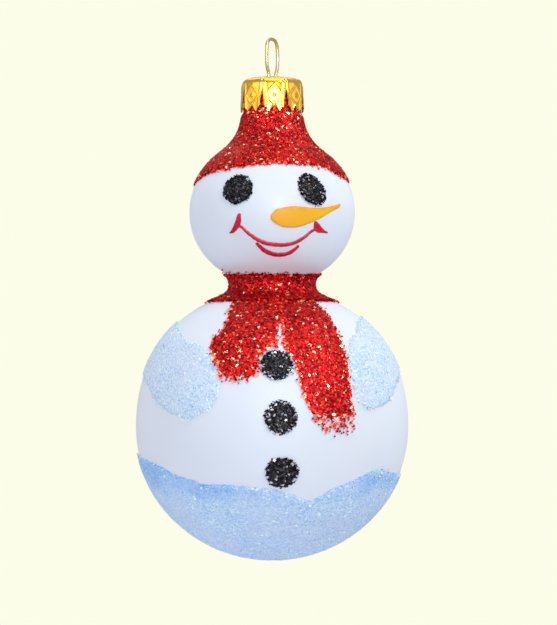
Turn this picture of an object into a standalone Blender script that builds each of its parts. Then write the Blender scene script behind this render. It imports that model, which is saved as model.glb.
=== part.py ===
"""Blown-glass snowman ornament that hangs from a wire loop.

Hollow glass figure (neck, head, body) with a stamped metal cap on its neck, a bent wire hanger
through the cap, and raised decoration laid on the glass: glitter hat, scarf, eyes, buttons,
mittens and snow, and a thick enamel nose and mouth.

Origin at the hanging point, the inside of the loop's top. +Z up, the face looks along -Y.
Azimuths are in degrees from the face's centre line, positive towards +X.
"""

import math

import bmesh
import bpy

MM = 0.001

# Driving sizes, in millimetres
BODY_DIAMETER = 60.0
HEAD_DIAMETER = 36.5
WAIST_DIAMETER = 18.3
CAP_DIAMETER = 14.2
CAP_HEIGHT = 8.0
LOOP_HEIGHT = 7.85
LOOP_HALF_WIDTH = 3.2
WIRE_DIAMETER = 0.73
GLASS_WALL = 0.8
CAP_SHEET = 0.3
EYE_WIDTH = 7.2
EYE_RATIOS = (1.0, 0.95, 0.0), (1.09, 0.87, -56.0)
BUTTON_DIAMETER = 7.0
COAT = 0.42
ENAMEL = 0.5

# Proportions of the blown figure
BODY_UPPER = 1.01
BODY_LOWER = 0.965
BODY_SQUARENESS = 2.15
HEAD_UPPER = 0.92
HEAD_LOWER = 0.895
NECK_BLEND = 12.0
HEAD_BELOW_CAP = 5.26
WAIST_SPACE = 0.5

# Clearances, in millimetres
CAP_FIT = 0.22
COAT_GAP = 0.15
COAT_SPACE = 0.3
HOLE_FIT = 0.24
LEG_FIT = 0.3
EYE_SPACE = 0.35

# The hanger
LOOP_TURN = 64.0
HOLE_SPAN = 2.0
LEG_LENGTH = 12.5

# The cap
PETALS = 8
PETAL_STEPS = 8
PETAL_HALF_ANGLE = 18.8
TOOTH_DEPTH = 1.3
SLIT_START = 2.6
CAP_DOME = 0.65
CAP_SHOULDER = 1.5
CAP_FLARE = 0.4

SEGMENTS = 52
COAT_FACET = 2.7
BAND_FACET = 3.7

# Sizes that follow
BODY_R = BODY_DIAMETER / 2
HEAD_R = HEAD_DIAMETER / 2
WIRE_R = WIRE_DIAMETER / 2
CAP_R = CAP_DIAMETER / 2
CAP_TOP = -LOOP_HEIGHT
CAP_FOOT = CAP_TOP - CAP_HEIGHT
NECK_R = CAP_R - CAP_FLARE - CAP_SHEET - CAP_FIT
NECK_TOP = CAP_TOP - CAP_DOME - CAP_SHOULDER * 0.85
HEAD_Z = CAP_FOOT - HEAD_BELOW_CAP - HEAD_UPPER * HEAD_R
BODY_Z = HEAD_Z - HEAD_LOWER * HEAD_R - BODY_UPPER * BODY_R - WAIST_SPACE
WAIST_R = WAIST_DIAMETER / 2
LEG_SPREAD = NECK_R - GLASS_WALL - WIRE_R - LEG_FIT
PITCH = 360.0 / PETALS


# ---------------------------------------------------------------- profile of the glass


def ellipse_point(radius, half_height, centre_z, angle, squareness=2.0):
    """Point and outward normal; angle runs from 0 at the equator to 90 at the upper pole."""
    c = max(math.cos(angle), 0.0) ** (2 / squareness)
    s = math.copysign(abs(math.sin(angle)) ** (2 / squareness), angle)
    lean = squareness - 1
    normal = (c**lean / radius, math.copysign(abs(s) ** lean, s) / half_height)
    size = math.hypot(*normal)
    return radius * c, centre_z + half_height * s, normal[0] / size, normal[1] / size


def bisect(function, low, high):
    sign = function(low) > 0
    for _ in range(40):
        middle = (low + high) / 2
        if (function(middle) > 0) == sign:
            low = middle
        else:
            high = middle
    return (low + high) / 2


def head_upper(angle):
    return ellipse_point(HEAD_R, HEAD_UPPER * HEAD_R, HEAD_Z, angle)


def head_lower(angle):
    return ellipse_point(HEAD_R, HEAD_LOWER * HEAD_R, HEAD_Z, angle)


def body_upper(angle):
    return ellipse_point(BODY_R, BODY_UPPER * BODY_R, BODY_Z, angle, BODY_SQUARENESS)


def body_lower(angle):
    return ellipse_point(BODY_R, BODY_LOWER * BODY_R, BODY_Z, angle)


def stood_off(point, distance):
    return point[0] + point[2] * distance, point[1] + point[3] * distance


def arc(centre, radius, start, end, count):
    """Points of an arc, both ends left out. Angles in radians from +r."""
    steps = [start + (end - start) * i / (count + 1) for i in range(1, count + 1)]
    return [(centre[0] + radius * math.cos(a), centre[1] + radius * math.sin(a)) for a in steps]


def sweep_ellipse(ellipse, start, end, count):
    return [ellipse(start + (end - start) * i / count)[:2] for i in range(count + 1)]


def figure_profile():
    """(r, z) from the neck's rim down to the lowest point, through tangent curves."""
    high = math.radians(89)
    # Neck to head: the blend touches the straight neck and the top of the head.
    joint = bisect(
        lambda a: stood_off(head_upper(a), NECK_BLEND)[0] - NECK_R - NECK_BLEND, 0.2, high
    )
    centre = stood_off(head_upper(joint), NECK_BLEND)
    touch = head_upper(joint)
    flare = math.atan2(touch[1] - centre[1], touch[0] - centre[0])
    points = [(NECK_R, NECK_TOP + (centre[1] - NECK_TOP) * i / 3) for i in range(4)]
    points += arc(centre, NECK_BLEND, math.pi, flare % (2 * math.pi), 5)
    points += sweep_ellipse(head_upper, joint, 0, 6)

    # Head to body: a blend of the radius that leaves the waist at its own size touches both.
    def meeting(angle, blend):
        over = stood_off(head_lower(-angle), blend)
        under = bisect(lambda a: stood_off(body_upper(a), blend)[0] - over[0], 0.1, high)
        return over[1] - stood_off(body_upper(under), blend)[1], under

    def head_touch(blend):
        return bisect(lambda a: meeting(a, blend)[0], 0.3, high)

    def narrowest(blend):
        return stood_off(head_lower(-head_touch(blend)), blend)[0] - blend

    blend = bisect(lambda b: narrowest(b) - WAIST_R, 0.3, WAIST_R)
    foot = head_touch(blend)
    shoulder = meeting(foot, blend)[1]
    centre = stood_off(head_lower(-foot), blend)
    start, end = head_lower(-foot), body_upper(shoulder)
    turn = [math.atan2(p[1] - centre[1], p[0] - centre[0]) % (2 * math.pi) for p in (start, end)]
    points += sweep_ellipse(head_lower, 0, -foot, 6)[1:]
    points += arc(centre, blend, turn[0], turn[1], 4)
    points += sweep_ellipse(body_upper, shoulder, 0, 10)
    points += sweep_ellipse(body_lower, 0, -math.pi / 2, 12)[1:]
    points[-1] = (0.0, points[-1][1])
    return points


PROFILE = figure_profile()


class Surface:
    """The outside of the glass, read by height or by length along the profile."""

    def __init__(self, points):
        self.points = points
        self.run = [0.0]
        for a, b in zip(points, points[1:]):
            self.run.append(self.run[-1] + math.dist(a, b))
        self.normals = []
        for i in range(len(points)):
            a, b = points[max(i - 1, 0)], points[min(i + 1, len(points) - 1)]
            length = math.dist(a, b)
            self.normals.append(((a[1] - b[1]) / length, (b[0] - a[0]) / length))
        self.normals[0] = (1.0, 0.0)
        self.normals[-1] = (0.0, -1.0)

    def at(self, run):
        """(r, z, normal r, normal z) at a length along the profile."""
        run = min(max(run, 0.0), self.run[-1])
        i = 0
        while i < len(self.run) - 2 and self.run[i + 1] < run:
            i += 1
        f = (run - self.run[i]) / (self.run[i + 1] - self.run[i])
        p = [a + (b - a) * f for a, b in zip(self.points[i], self.points[i + 1])]
        n = [a + (b - a) * f for a, b in zip(self.normals[i], self.normals[i + 1])]
        size = math.hypot(*n)
        return p[0], p[1], n[0] / size, n[1] / size

    def run_at(self, z):
        for i in range(len(self.points) - 1):
            high, low = self.points[i][1], self.points[i + 1][1]
            if high >= z >= low:
                return self.run[i] + (high - z) / (high - low) * (self.run[i + 1] - self.run[i])
        return 0.0 if z > self.points[0][1] else self.run[-1]

    def place(self, azimuth, run, lift):
        """World point in metres, lift millimetres off the glass."""
        r, z, nr, nz = self.at(run)
        a = math.radians(azimuth)
        reach = r + nr * lift
        return (
            reach * math.sin(a) * MM,
            -reach * math.cos(a) * MM,
            (z + nz * lift) * MM,
        )


GLASS = Surface(PROFILE)


# ---------------------------------------------------------------- meshes


def material(name, colour, roughness, metallic=0.0):
    made = bpy.data.materials.new(name)
    made.use_nodes = True
    shader = made.node_tree.nodes["Principled BSDF"]
    shader.inputs["Base Color"].default_value = (*colour, 1)
    shader.inputs["Roughness"].default_value = roughness
    shader.inputs["Metallic"].default_value = metallic
    return made


def add_object(name, vertices, faces, look, origin=(0, 0, 0)):
    """A closed mesh with outward faces, its object origin at the given point in metres."""
    mesh = bpy.data.meshes.new(name)
    moved = [tuple(v[i] - origin[i] for i in range(3)) for v in vertices]
    mesh.from_pydata(moved, [], faces)
    shape = bmesh.new()
    shape.from_mesh(mesh)
    bmesh.ops.recalc_face_normals(shape, faces=shape.faces)
    shape.to_mesh(mesh)
    shape.free()
    mesh.materials.append(look)
    obj = bpy.data.objects.new(name, mesh)
    obj.location = origin
    bpy.context.scene.collection.objects.link(obj)
    return obj


def revolve(name, path, look):
    """Turns a path that starts and ends on the axis into a solid."""
    vertices, faces = [], []
    rings = path[1:-1]
    for r, z in rings:
        for i in range(SEGMENTS):
            a = 2 * math.pi * i / SEGMENTS
            vertices.append((r * math.sin(a) * MM, -r * math.cos(a) * MM, z * MM))
    first, last = len(vertices), len(vertices) + 1
    vertices += [(0, 0, path[0][1] * MM), (0, 0, path[-1][1] * MM)]
    for j in range(len(rings) - 1):
        for i in range(SEGMENTS):
            k = (i + 1) % SEGMENTS
            a, b = j * SEGMENTS, (j + 1) * SEGMENTS
            faces.append((a + i, a + k, b + k, b + i))
    end = (len(rings) - 1) * SEGMENTS
    for i in range(SEGMENTS):
        k = (i + 1) % SEGMENTS
        faces.append((first, k, i))
        faces.append((last, end + i, end + k))
    return add_object(name, vertices, faces, look)


def slab(name, under, over, look, wrap=False):
    """Closes two matching grids of points, rows by columns, into one thick sheet."""
    rows, columns = len(over), len(over[0])
    vertices = [p for row in over for p in row] + [p for row in under for p in row]
    shift = rows * columns
    faces = []
    across = columns if wrap else columns - 1
    for j in range(rows - 1):
        for i in range(across):
            k = (i + 1) % columns
            a, b, c, d = j * columns + i, j * columns + k, (j + 1) * columns + k, (
                j + 1
            ) * columns + i
            faces.append((a, b, c, d))
            faces.append((a + shift, d + shift, c + shift, b + shift))
    for j, flip in ((0, False), (rows - 1, True)):
        for i in range(across):
            k = (i + 1) % columns
            a, b = j * columns + i, j * columns + k
            face = (a, a + shift, b + shift, b)
            faces.append(face[::-1] if flip else face)
    if not wrap:
        for i, flip in ((0, True), (columns - 1, False)):
            for j in range(rows - 1):
                a, b = j * columns + i, (j + 1) * columns + i
                face = (a, a + shift, b + shift, b)
                faces.append(face[::-1] if flip else face)
    return add_object(name, vertices, faces, look)


def smooth_through(points, count):
    """Catmull-Rom curve through the points, sampled at count + 1 places."""
    spans = len(points) - 1
    found = []
    for step in range(count + 1):
        t = step / count * spans
        i = min(int(t), spans - 1)
        f = t - i
        quad = [points[min(max(i + d, 0), spans)] for d in (-1, 0, 1, 2)]
        found.append(
            tuple(
                0.5
                * (
                    2 * b
                    + (c - a) * f
                    + (2 * a - 5 * b + 4 * c - d) * f * f
                    + (3 * b - a - 3 * c + d) * f * f * f
                )
                for a, b, c, d in zip(*quad)
            )
        )
    return found


def steps_for(length, facet):
    """How many equal steps keep a curved stretch of coat close to the glass."""
    return max(3, math.ceil(length / facet))


def longest_run(top, bottom):
    spans = [
        GLASS.run_at(bottom(az)) - GLASS.run_at(top(az))
        for az in (360.0 * i / SEGMENTS for i in range(SEGMENTS))
    ]
    return max(spans)


def band(name, top, bottom, facet, thickness, look):
    """Coat right round the glass between two edges, each a function from azimuth to height."""
    rows = steps_for(longest_run(top, bottom), facet)
    over, under = [], []
    for j in range(rows + 1):
        edge = min(j, rows - j) / rows * 2
        lift = COAT_GAP + thickness * (0.6 + 0.4 * min(1.0, edge * 2.5))
        over.append([])
        under.append([])
        for i in range(SEGMENTS):
            az = 360.0 * i / SEGMENTS
            a, b = GLASS.run_at(top(az)), GLASS.run_at(bottom(az))
            run = a + (b - a) * j / rows
            over[-1].append(GLASS.place(az, run, lift))
            under[-1].append(GLASS.place(az, run, COAT_GAP))
    return slab(name, under, over, look, wrap=True)


def bowl(name, top, facet, thickness, look):
    """Coat from an edge, a function from azimuth to height, down over the lowest point."""
    rows = steps_for(longest_run(top, lambda az: GLASS.points[-1][1]), facet)
    vertices, faces = [], []
    for lift, turned in ((COAT_GAP + thickness, False), (COAT_GAP, True)):
        first = len(vertices)
        for j in range(rows):
            thin = 1.0 if turned or j else (COAT_GAP + thickness * 0.6) / lift
            for i in range(SEGMENTS):
                az = 360.0 * i / SEGMENTS
                a = GLASS.run_at(top(az))
                run = a + (GLASS.run[-1] - a) * j / rows
                vertices.append(GLASS.place(az, run, lift * thin))
        pole = len(vertices)
        vertices.append(GLASS.place(0, GLASS.run[-1], lift))
        made = []
        for i in range(SEGMENTS):
            k = (i + 1) % SEGMENTS
            for j in range(rows - 1):
                a, b = first + j * SEGMENTS, first + (j + 1) * SEGMENTS
                made.append((a + i, a + k, b + k, b + i))
            last = first + (rows - 1) * SEGMENTS
            made.append((last + i, last + k, pole))
        faces += [tuple(reversed(f)) for f in made] if turned else made
    shift = rows * SEGMENTS + 1
    for i in range(SEGMENTS):
        k = (i + 1) % SEGMENTS
        faces.append((i, i + shift, k + shift, k))
    return add_object(name, vertices, faces, look)


def even_edges(left, right, facet):
    """The two edges at matching places, evenly spaced over the glass, and the columns between."""
    a, b = smooth_through(left, 80), smooth_through(right, 80)
    travelled, widest = [0.0], 0.0
    for j in range(80):
        steps = []
        for line in (a, b):
            (az0, z0), (az1, z1) = line[j], line[j + 1]
            run = GLASS.run_at(z0)
            turn = math.radians(az1 - az0) * GLASS.at(run)[0]
            steps.append(math.hypot(turn, GLASS.run_at(z1) - run))
        travelled.append(travelled[-1] + max(steps))
        tilt = GLASS.run_at(b[j][1]) - GLASS.run_at(a[j][1])
        turn = math.radians(b[j][0] - a[j][0]) * GLASS.at(GLASS.run_at(a[j][1]))[0]
        widest = max(widest, math.hypot(turn, tilt))
    along, across = steps_for(travelled[-1], facet), steps_for(widest, facet)
    picked = []
    for j in range(along + 1):
        target = travelled[-1] * j / along
        picked.append(min(range(81), key=lambda i: abs(travelled[i] - target)))
    return [a[i] for i in picked], [b[i] for i in picked], across


def patch(name, left, right, facet, thickness, look):
    """Coat between two edge curves of (azimuth, height) points, thinner round its rim."""
    a, b, across = even_edges(left, right, facet)
    along = len(a) - 1
    over, under = [], []
    for j in range(along + 1):
        over.append([])
        under.append([])
        ends = min(1.0, 3.0 * min(j, along - j) / along + 0.15)
        for i in range(across + 1):
            f = i / across
            az = a[j][0] + (b[j][0] - a[j][0]) * f
            z = a[j][1] + (b[j][1] - a[j][1]) * f
            rim = min(1.0, 5.0 * min(f, 1 - f) + 0.15)
            run = GLASS.run_at(z)
            lift = COAT_GAP + thickness * (0.5 + 0.5 * min(rim, ends))
            over[-1].append(GLASS.place(az, run, lift))
            under[-1].append(GLASS.place(az, run, COAT_GAP))
    return slab(name, under, over, look)


def stroke(name, line, width, along, thickness, look):
    """Brush stroke along (azimuth, height) points: width runs full in the middle, thin at the ends."""
    path = smooth_through(line, along)
    over, under = [], []
    for j in range(along + 1):
        before, after = path[max(j - 1, 0)], path[min(j + 1, along)]
        r = GLASS.at(GLASS.run_at(path[j][1]))[0]
        du = math.radians(after[0] - before[0]) * r
        dv = GLASS.run_at(after[1]) - GLASS.run_at(before[1])
        size = math.hypot(du, dv)
        full = math.sin(math.pi * (0.06 + 0.88 * j / along)) ** 0.6
        over.append([])
        under.append([])
        for i in range(4):
            f = i / 3 - 0.5
            az = path[j][0] + math.degrees(-dv / size * f * width * full / r)
            run = GLASS.run_at(path[j][1]) + du / size * f * width * full
            lift = COAT_GAP + thickness * (0.45 + 0.55 * (1 - 4 * f * f)) * (0.5 + 0.5 * full)
            over[-1].append(GLASS.place(az, run, lift))
            under[-1].append(GLASS.place(az, run, COAT_GAP))
    return slab(name, under, over, look)


def dot(name, azimuth, height, width, tall, tilt, thickness, look, rings=3, sides=20):
    """Domed oval of coat centred on a point of the glass."""
    run = GLASS.run_at(height)
    r = GLASS.at(run)[0]
    turn = math.radians(tilt)
    over, under = [], []
    for j in range(1, rings + 1):
        f = j / rings
        lift = COAT_GAP + thickness * (0.45 + 0.55 * math.sqrt(max(0.0, 1 - f**4)))
        over.append([])
        under.append([])
        for i in range(sides):
            a = 2 * math.pi * i / sides
            p, q = width / 2 * f * math.cos(a), tall / 2 * f * math.sin(a)
            u = p * math.cos(turn) - q * math.sin(turn)
            v = p * math.sin(turn) + q * math.cos(turn)
            az = azimuth + math.degrees(u / r)
            over[-1].append(GLASS.place(az, run - v, lift))
            under[-1].append(GLASS.place(az, run - v, COAT_GAP))
    vertices = [p for row in over for p in row] + [p for row in under for p in row]
    shift = rings * sides
    faces = []
    for j in range(rings - 1):
        for i in range(sides):
            k = (i + 1) % sides
            face = (j * sides + i, j * sides + k, (j + 1) * sides + k, (j + 1) * sides + i)
            faces.append(face)
            faces.append(tuple(v + shift for v in reversed(face)))
    crown, seat = len(vertices), len(vertices) + 1
    vertices += [
        GLASS.place(azimuth, run, COAT_GAP + thickness),
        GLASS.place(azimuth, run, COAT_GAP),
    ]
    edge = (rings - 1) * sides
    for i in range(sides):
        k = (i + 1) % sides
        faces.append((crown, k, i))
        faces.append((seat, shift + i, shift + k))
        faces.append((edge + i, edge + k, edge + k + shift, edge + i + shift))
    return add_object(name, vertices, faces, look)


def tube(name, path, radius, sides, look, origin):
    """Round wire along a path of points in millimetres, closed at both ends."""
    vertices, faces = [], []
    count = len(path)
    across = None
    for j, point in enumerate(path):
        before, after = path[max(j - 1, 0)], path[min(j + 1, count - 1)]
        t = [b - a for a, b in zip(before, after)]
        size = math.hypot(*t)
        t = [x / size for x in t]
        if across is None:
            across = [-LOOP_NORMAL[0], -LOOP_NORMAL[1], 0.0]
        dot_product = sum(a * b for a, b in zip(across, t))
        across = [a - dot_product * b for a, b in zip(across, t)]
        size = math.hypot(*across)
        across = [a / size for a in across]
        other = [
            t[1] * across[2] - t[2] * across[1],
            t[2] * across[0] - t[0] * across[2],
            t[0] * across[1] - t[1] * across[0],
        ]
        for i in range(sides):
            a = 2 * math.pi * i / sides
            vertices.append(
                tuple(
                    (p + radius * (math.cos(a) * u + math.sin(a) * v)) * MM
                    for p, u, v in zip(point, across, other)
                )
            )
    for j in range(count - 1):
        for i in range(sides):
            k = (i + 1) % sides
            faces.append((j * sides + i, j * sides + k, (j + 1) * sides + k, (j + 1) * sides + i))
    faces.append(tuple(range(sides))[::-1])
    faces.append(tuple((count - 1) * sides + i for i in range(sides)))
    return add_object(name, vertices, faces, look, origin)


# ---------------------------------------------------------------- the metal cap


LOOP_ALONG = (math.cos(math.radians(LOOP_TURN)), math.sin(math.radians(LOOP_TURN)))
LOOP_NORMAL = (-LOOP_ALONG[1], LOOP_ALONG[0])


def cap_section():
    """(r, z, normal r, normal z) of the cap's outside, from the axis to the petals' tips."""
    shoulder_r = CAP_R - CAP_FLARE - CAP_SHOULDER
    shoulder_z = CAP_TOP - CAP_DOME
    tilt = math.radians(12)
    section = []
    for f in (0.0, 0.28, 0.55, 0.8):
        section.append((shoulder_r * f, CAP_TOP - CAP_DOME * f * f, math.sin(tilt * f), 1.0))
    for i in range(5):
        a = tilt + (math.pi / 2 - tilt) * i / 4
        section.append(
            (
                shoulder_r + CAP_SHOULDER * math.sin(a),
                shoulder_z - CAP_SHOULDER * (1 - math.cos(a)) + 0.02,
                math.sin(a),
                math.cos(a),
            )
        )
    side = CAP_HEIGHT - CAP_DOME - CAP_SHOULDER
    for f in (0.08, 0.3, 0.55, 0.78, 1.0):
        flare = CAP_FLARE * math.sin(f * math.pi / 2)
        section.append((CAP_R - CAP_FLARE + flare, shoulder_z - CAP_SHOULDER - side * f, 1.0, 0.1))
    found = []
    for r, z, nr, nz in section:
        size = math.hypot(nr, nz)
        found.append((r, z, nr / size, nz / size))
    return found


def cap_mesh():
    section = cap_section()
    slit = next(i for i, row in enumerate(section) if CAP_TOP - row[1] >= SLIT_START)
    vertices, faces = [], []

    def ring_point(row, azimuth, depth, drop=0.0):
        r, z, nr, nz = row
        a = math.radians(azimuth)
        reach = r - nr * depth
        vertices.append(
            (reach * math.sin(a) * MM, -reach * math.cos(a) * MM, (z - nz * depth + drop) * MM)
        )
        return len(vertices) - 1

    columns = PETALS * PETAL_STEPS
    skins = []
    for depth in (0.0, CAP_SHEET):
        grid = [[ring_point(section[0], 0, depth)]]
        for row in section[1 : slit + 1]:
            grid.append(
                [ring_point(row, -PITCH / 2 + 360.0 * i / columns, depth) for i in range(columns)]
            )
        petals = []
        for p in range(PETALS):
            petal = []
            for j in range(slit + 1, len(section)):
                f = (j - slit) / (len(section) - 1 - slit)
                half = PITCH / 2 - (PITCH / 2 - PETAL_HALF_ANGLE) * min(1.0, f * 1.6)
                line = []
                for i in range(PETAL_STEPS + 1):
                    u = 2.0 * i / PETAL_STEPS - 1
                    tooth = TOOTH_DEPTH * abs(2 * abs(u) - 1) * f**3
                    line.append(ring_point(section[j], PITCH * p + half * u, depth, tooth))
                petal.append(line)
            petals.append(petal)
        skins.append((grid, petals))
    for number, (grid, petals) in enumerate(skins):
        made = []
        for i in range(columns):
            made.append((grid[0][0], grid[1][i], grid[1][(i + 1) % columns]))
        for upper, lower in zip(grid[1:], grid[2:]):
            for i in range(columns):
                k = (i + 1) % columns
                made.append((upper[i], lower[i], lower[k], upper[k]))
        for p, petal in enumerate(petals):
            start = p * PETAL_STEPS
            root = [grid[-1][(start + i) % columns] for i in range(PETAL_STEPS + 1)]
            lines = [root, *petal]
            for upper, lower in zip(lines, lines[1:]):
                for i in range(PETAL_STEPS):
                    made.append((upper[i], lower[i], lower[i + 1], upper[i + 1]))
        faces += [tuple(reversed(f)) for f in made] if number else made
    for p in range(PETALS):
        start = p * PETAL_STEPS
        sides = []
        for grid, petals in skins:
            root = [grid[-1][start], grid[-1][(start + PETAL_STEPS) % columns]]
            sides.append(
                (
                    [root[0]] + [line[0] for line in petals[p]],
                    [root[1]] + [line[-1] for line in petals[p]],
                    petals[p][-1],
                )
            )
        for outer, inner in zip(sides[0], sides[1]):
            for i in range(len(outer) - 1):
                faces.append((outer[i], outer[i + 1], inner[i + 1], inner[i]))
    return vertices, faces


def add_cap(look):
    vertices, faces = cap_mesh()
    cap = add_object("ornament_cap", vertices, faces, look, (0, 0, CAP_TOP * MM))
    for number, side in enumerate((-1, 1)):
        bpy.ops.mesh.primitive_cylinder_add(
            vertices=20,
            radius=(WIRE_R + HOLE_FIT) * MM,
            depth=4 * MM,
            location=(
                side * HOLE_SPAN * LOOP_ALONG[0] * MM,
                side * HOLE_SPAN * LOOP_ALONG[1] * MM,
                CAP_TOP * MM,
            ),
        )
        cutter = bpy.context.active_object
        cutter.name = f"cap_hole_cutter_{number}"
        cutter.hide_render = True
        cutter.display_type = "WIRE"
        cut = cap.modifiers.new(f"hole_{number}", "BOOLEAN")
        cut.operation = "DIFFERENCE"
        cut.solver = "EXACT"
        cut.object = cutter
    return cap


def hanger_path():
    """Loop above the cap and two spring legs inside the neck, in the loop's own plane."""
    w, top = LOOP_HALF_WIDTH, WIRE_R
    hole = CAP_TOP - 0.15
    rise = LOOP_HEIGHT
    side = [
        (LEG_SPREAD * 0.9, hole - LEG_LENGTH),
        (LEG_SPREAD, hole - LEG_LENGTH * 0.8),
        (LEG_SPREAD * 0.97, hole - LEG_LENGTH * 0.58),
        (LEG_SPREAD * 0.78, hole - LEG_LENGTH * 0.34),
        (HOLE_SPAN * 1.06, hole - LEG_LENGTH * 0.12),
        (HOLE_SPAN, hole),
        (HOLE_SPAN * 1.05, hole + rise * 0.1),
        (w * 0.9, hole + rise * 0.26),
        (w, hole + rise * 0.47),
        (w * 0.985, hole + rise * 0.7),
        (w * 0.82, top - rise * 0.11),
        (w * 0.45, top - rise * 0.018),
    ]
    points = side + [(0.0, top)] + [(-u, z) for u, z in reversed(side)]
    return [
        (u * LOOP_ALONG[0], u * LOOP_ALONG[1], z)
        for u, z in smooth_through(points, 3 * (len(points) - 1))
    ]


# ---------------------------------------------------------------- where the decoration goes


def on_head(f):
    """Height of a point on the head, f head radii above its centre."""
    return HEAD_Z + f * HEAD_R


def on_body(f):
    return BODY_Z + f * BODY_R


def around(knots):
    """Periodic smooth function through (azimuth, value) knots in rising azimuth."""

    def value(azimuth):
        azimuth = (azimuth - knots[0][0]) % 360.0 + knots[0][0]
        count = len(knots)
        for i in range(count):
            a = knots[i]
            b = knots[(i + 1) % count]
            end = b[0] if i + 1 < count else b[0] + 360.0
            if a[0] <= azimuth <= end:
                f = (azimuth - a[0]) / (end - a[0])
                f = f * f * (3 - 2 * f)
                return a[1] + (b[1] - a[1]) * f
        return knots[0][1]

    return value


def half_rise(width, tall, tilt):
    """How far a tilted oval reaches above its centre."""
    turn = math.radians(tilt)
    return math.hypot(width / 2 * math.sin(turn), tall / 2 * math.cos(turn))


# The eyes stand on the nose's upper line, and the hat's rim clears them.
EYE_RISE = max(half_rise(EYE_WIDTH * w, EYE_WIDTH * h, tilt) for w, h, tilt in EYE_RATIOS)
EYE_Z = on_head(0.022) + EYE_RISE + EYE_SPACE
BROW = max(on_head(0.515), EYE_Z + EYE_RISE + COAT_SPACE)

HAT_RIM = around(
    [
        (-95, on_head(0.33)),
        (-80, on_head(0.365)),
        (-66, BROW - 0.08 * HEAD_R),
        (-48, BROW - 0.045 * HEAD_R),
        (-30, BROW - 0.005 * HEAD_R),
        (-13, BROW + 0.013 * HEAD_R),
        (0, BROW + 0.025 * HEAD_R),
        (24, BROW + 0.02 * HEAD_R),
        (38, BROW + 0.005 * HEAD_R),
        (48, BROW - 0.03 * HEAD_R),
        (59, BROW - 0.087 * HEAD_R),
        (75, on_head(0.375)),
        (120, on_head(0.34)),
        (180, on_head(0.33)),
    ]
)
SNOW_EDGE = around(
    [
        (-89, on_body(-0.20)),
        (-74, on_body(-0.213)),
        (-66, on_body(-0.232)),
        (-55, on_body(-0.285)),
        (-44, on_body(-0.333)),
        (-33, on_body(-0.374)),
        (-24, on_body(-0.362)),
        (-10, on_body(-0.385)),
        (0.5, on_body(-0.407)),
        (8.5, on_body(-0.447)),
        (13.5, on_body(-0.478)),
        (17.5, on_body(-0.457)),
        (22.5, on_body(-0.409)),
        (31, on_body(-0.361)),
        (40, on_body(-0.295)),
        (49, on_body(-0.276)),
        (60, on_body(-0.308)),
        (81, on_body(-0.35)),
        (118, on_body(-0.26)),
        (160, on_body(-0.37)),
        (205, on_body(-0.29)),
        (240, on_body(-0.36)),
    ]
)
COLLAR_TOP = HEAD_Z - 0.742 * HEAD_R
COLLAR_FOOT = on_body(0.915)
TAIL_TOP = COLLAR_FOOT - COAT_SPACE * 0.5

SHORT_TAIL = [
    (TAIL_TOP, -39, -0.2),
    (on_body(0.82), -34, -0.1),
    (on_body(0.74), -31.8, -0.4),
    (on_body(0.655), -35.4, -1.4),
    (on_body(0.60), -35, -2.2),
    (on_body(0.56), -33.6, -8.6),
    (on_body(0.47), -29.3, -9.8),
    (on_body(0.39), -26.8, -10.8),
    (on_body(0.335), -23, -14.5),
]
LONG_TAIL = [
    (TAIL_TOP, 1.8, 35.5),
    (on_body(0.82), 1.7, 34.8),
    (on_body(0.74), 1.6, 33.9),
    (on_body(0.64), 1.5, 33.1),
    (on_body(0.575), 3.2, 32.5),
    (on_body(0.52), 5.6, 32.0),
    (on_body(0.45), 6.6, 31.4),
    (on_body(0.37), 7.6, 31),
    (on_body(0.26), 9.3, 30.6),
    (on_body(0.15), 11.5, 30.8),
    (on_body(0.06), 14, 31.6),
    (on_body(0.005), 17.5, 29.5),
    (on_body(-0.025), 21, 27),
]
MITTEN_LEFT = [
    (on_body(0.76), -98, -80),
    (on_body(0.72), -100, -68.5),
    (on_body(0.675), -101, -60.5),
    (on_body(0.64), -101, -51.5),
    (on_body(0.605), -100, -41),
    (on_body(0.565), -99, -36.2),
    (on_body(0.50), -97, -32.4),
    (on_body(0.43), -94, -29.8),
    (on_body(0.37), -84, -27.8),
    (on_body(0.315), -73, -26),
    (on_body(0.255), -66.5, -26.5),
    (on_body(0.195), -60, -28.2),
    (on_body(0.14), -53, -31.5),
    (on_body(0.105), -46.5, -36),
    (on_body(0.087), -42, -39),
]
MITTEN_RIGHT = [
    (on_body(0.80), 76, 92),
    (on_body(0.77), 60, 97),
    (on_body(0.71), 50, 101),
    (on_body(0.655), 42.2, 102),
    (on_body(0.605), 37, 101),
    (on_body(0.55), 34.7, 99),
    (on_body(0.48), 33.4, 96),
    (on_body(0.40), 32.6, 80),
    (on_body(0.35), 32.4, 68.5),
    (on_body(0.295), 32.4, 62.5),
    (on_body(0.24), 32.9, 57.8),
    (on_body(0.198), 34.2, 53.3),
    (on_body(0.168), 37, 48),
    (on_body(0.156), 39.5, 44.5),
]
NOSE_ALONG = [
    (-4.6, -0.075, -0.11),
    (-2.2, -0.022, -0.150),
    (2.5, 0.012, -0.192),
    (10, 0.034, -0.205),
    (18, 0.026, -0.183),
    (26, 0.018, -0.126),
    (34, 0.028, -0.064),
    (42.5, 0.052, 0.004),
    (50, 0.078, 0.060),
]
SMILE = [
    (-25.2, on_head(-0.20)),
    (-21.4, on_head(-0.268)),
    (-15.7, on_head(-0.339)),
    (-8.3, on_head(-0.391)),
    (-0.3, on_head(-0.411)),
    (7.1, on_head(-0.408)),
    (13.5, on_head(-0.382)),
    (20.6, on_head(-0.313)),
    (25.2, on_head(-0.24)),
]
LOWER_LIP = [
    (-15.6, on_head(-0.39)),
    (-11.8, on_head(-0.455)),
    (-6, on_head(-0.503)),
    (2.5, on_head(-0.527)),
    (11, on_head(-0.497)),
    (16.6, on_head(-0.424)),
]
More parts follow.
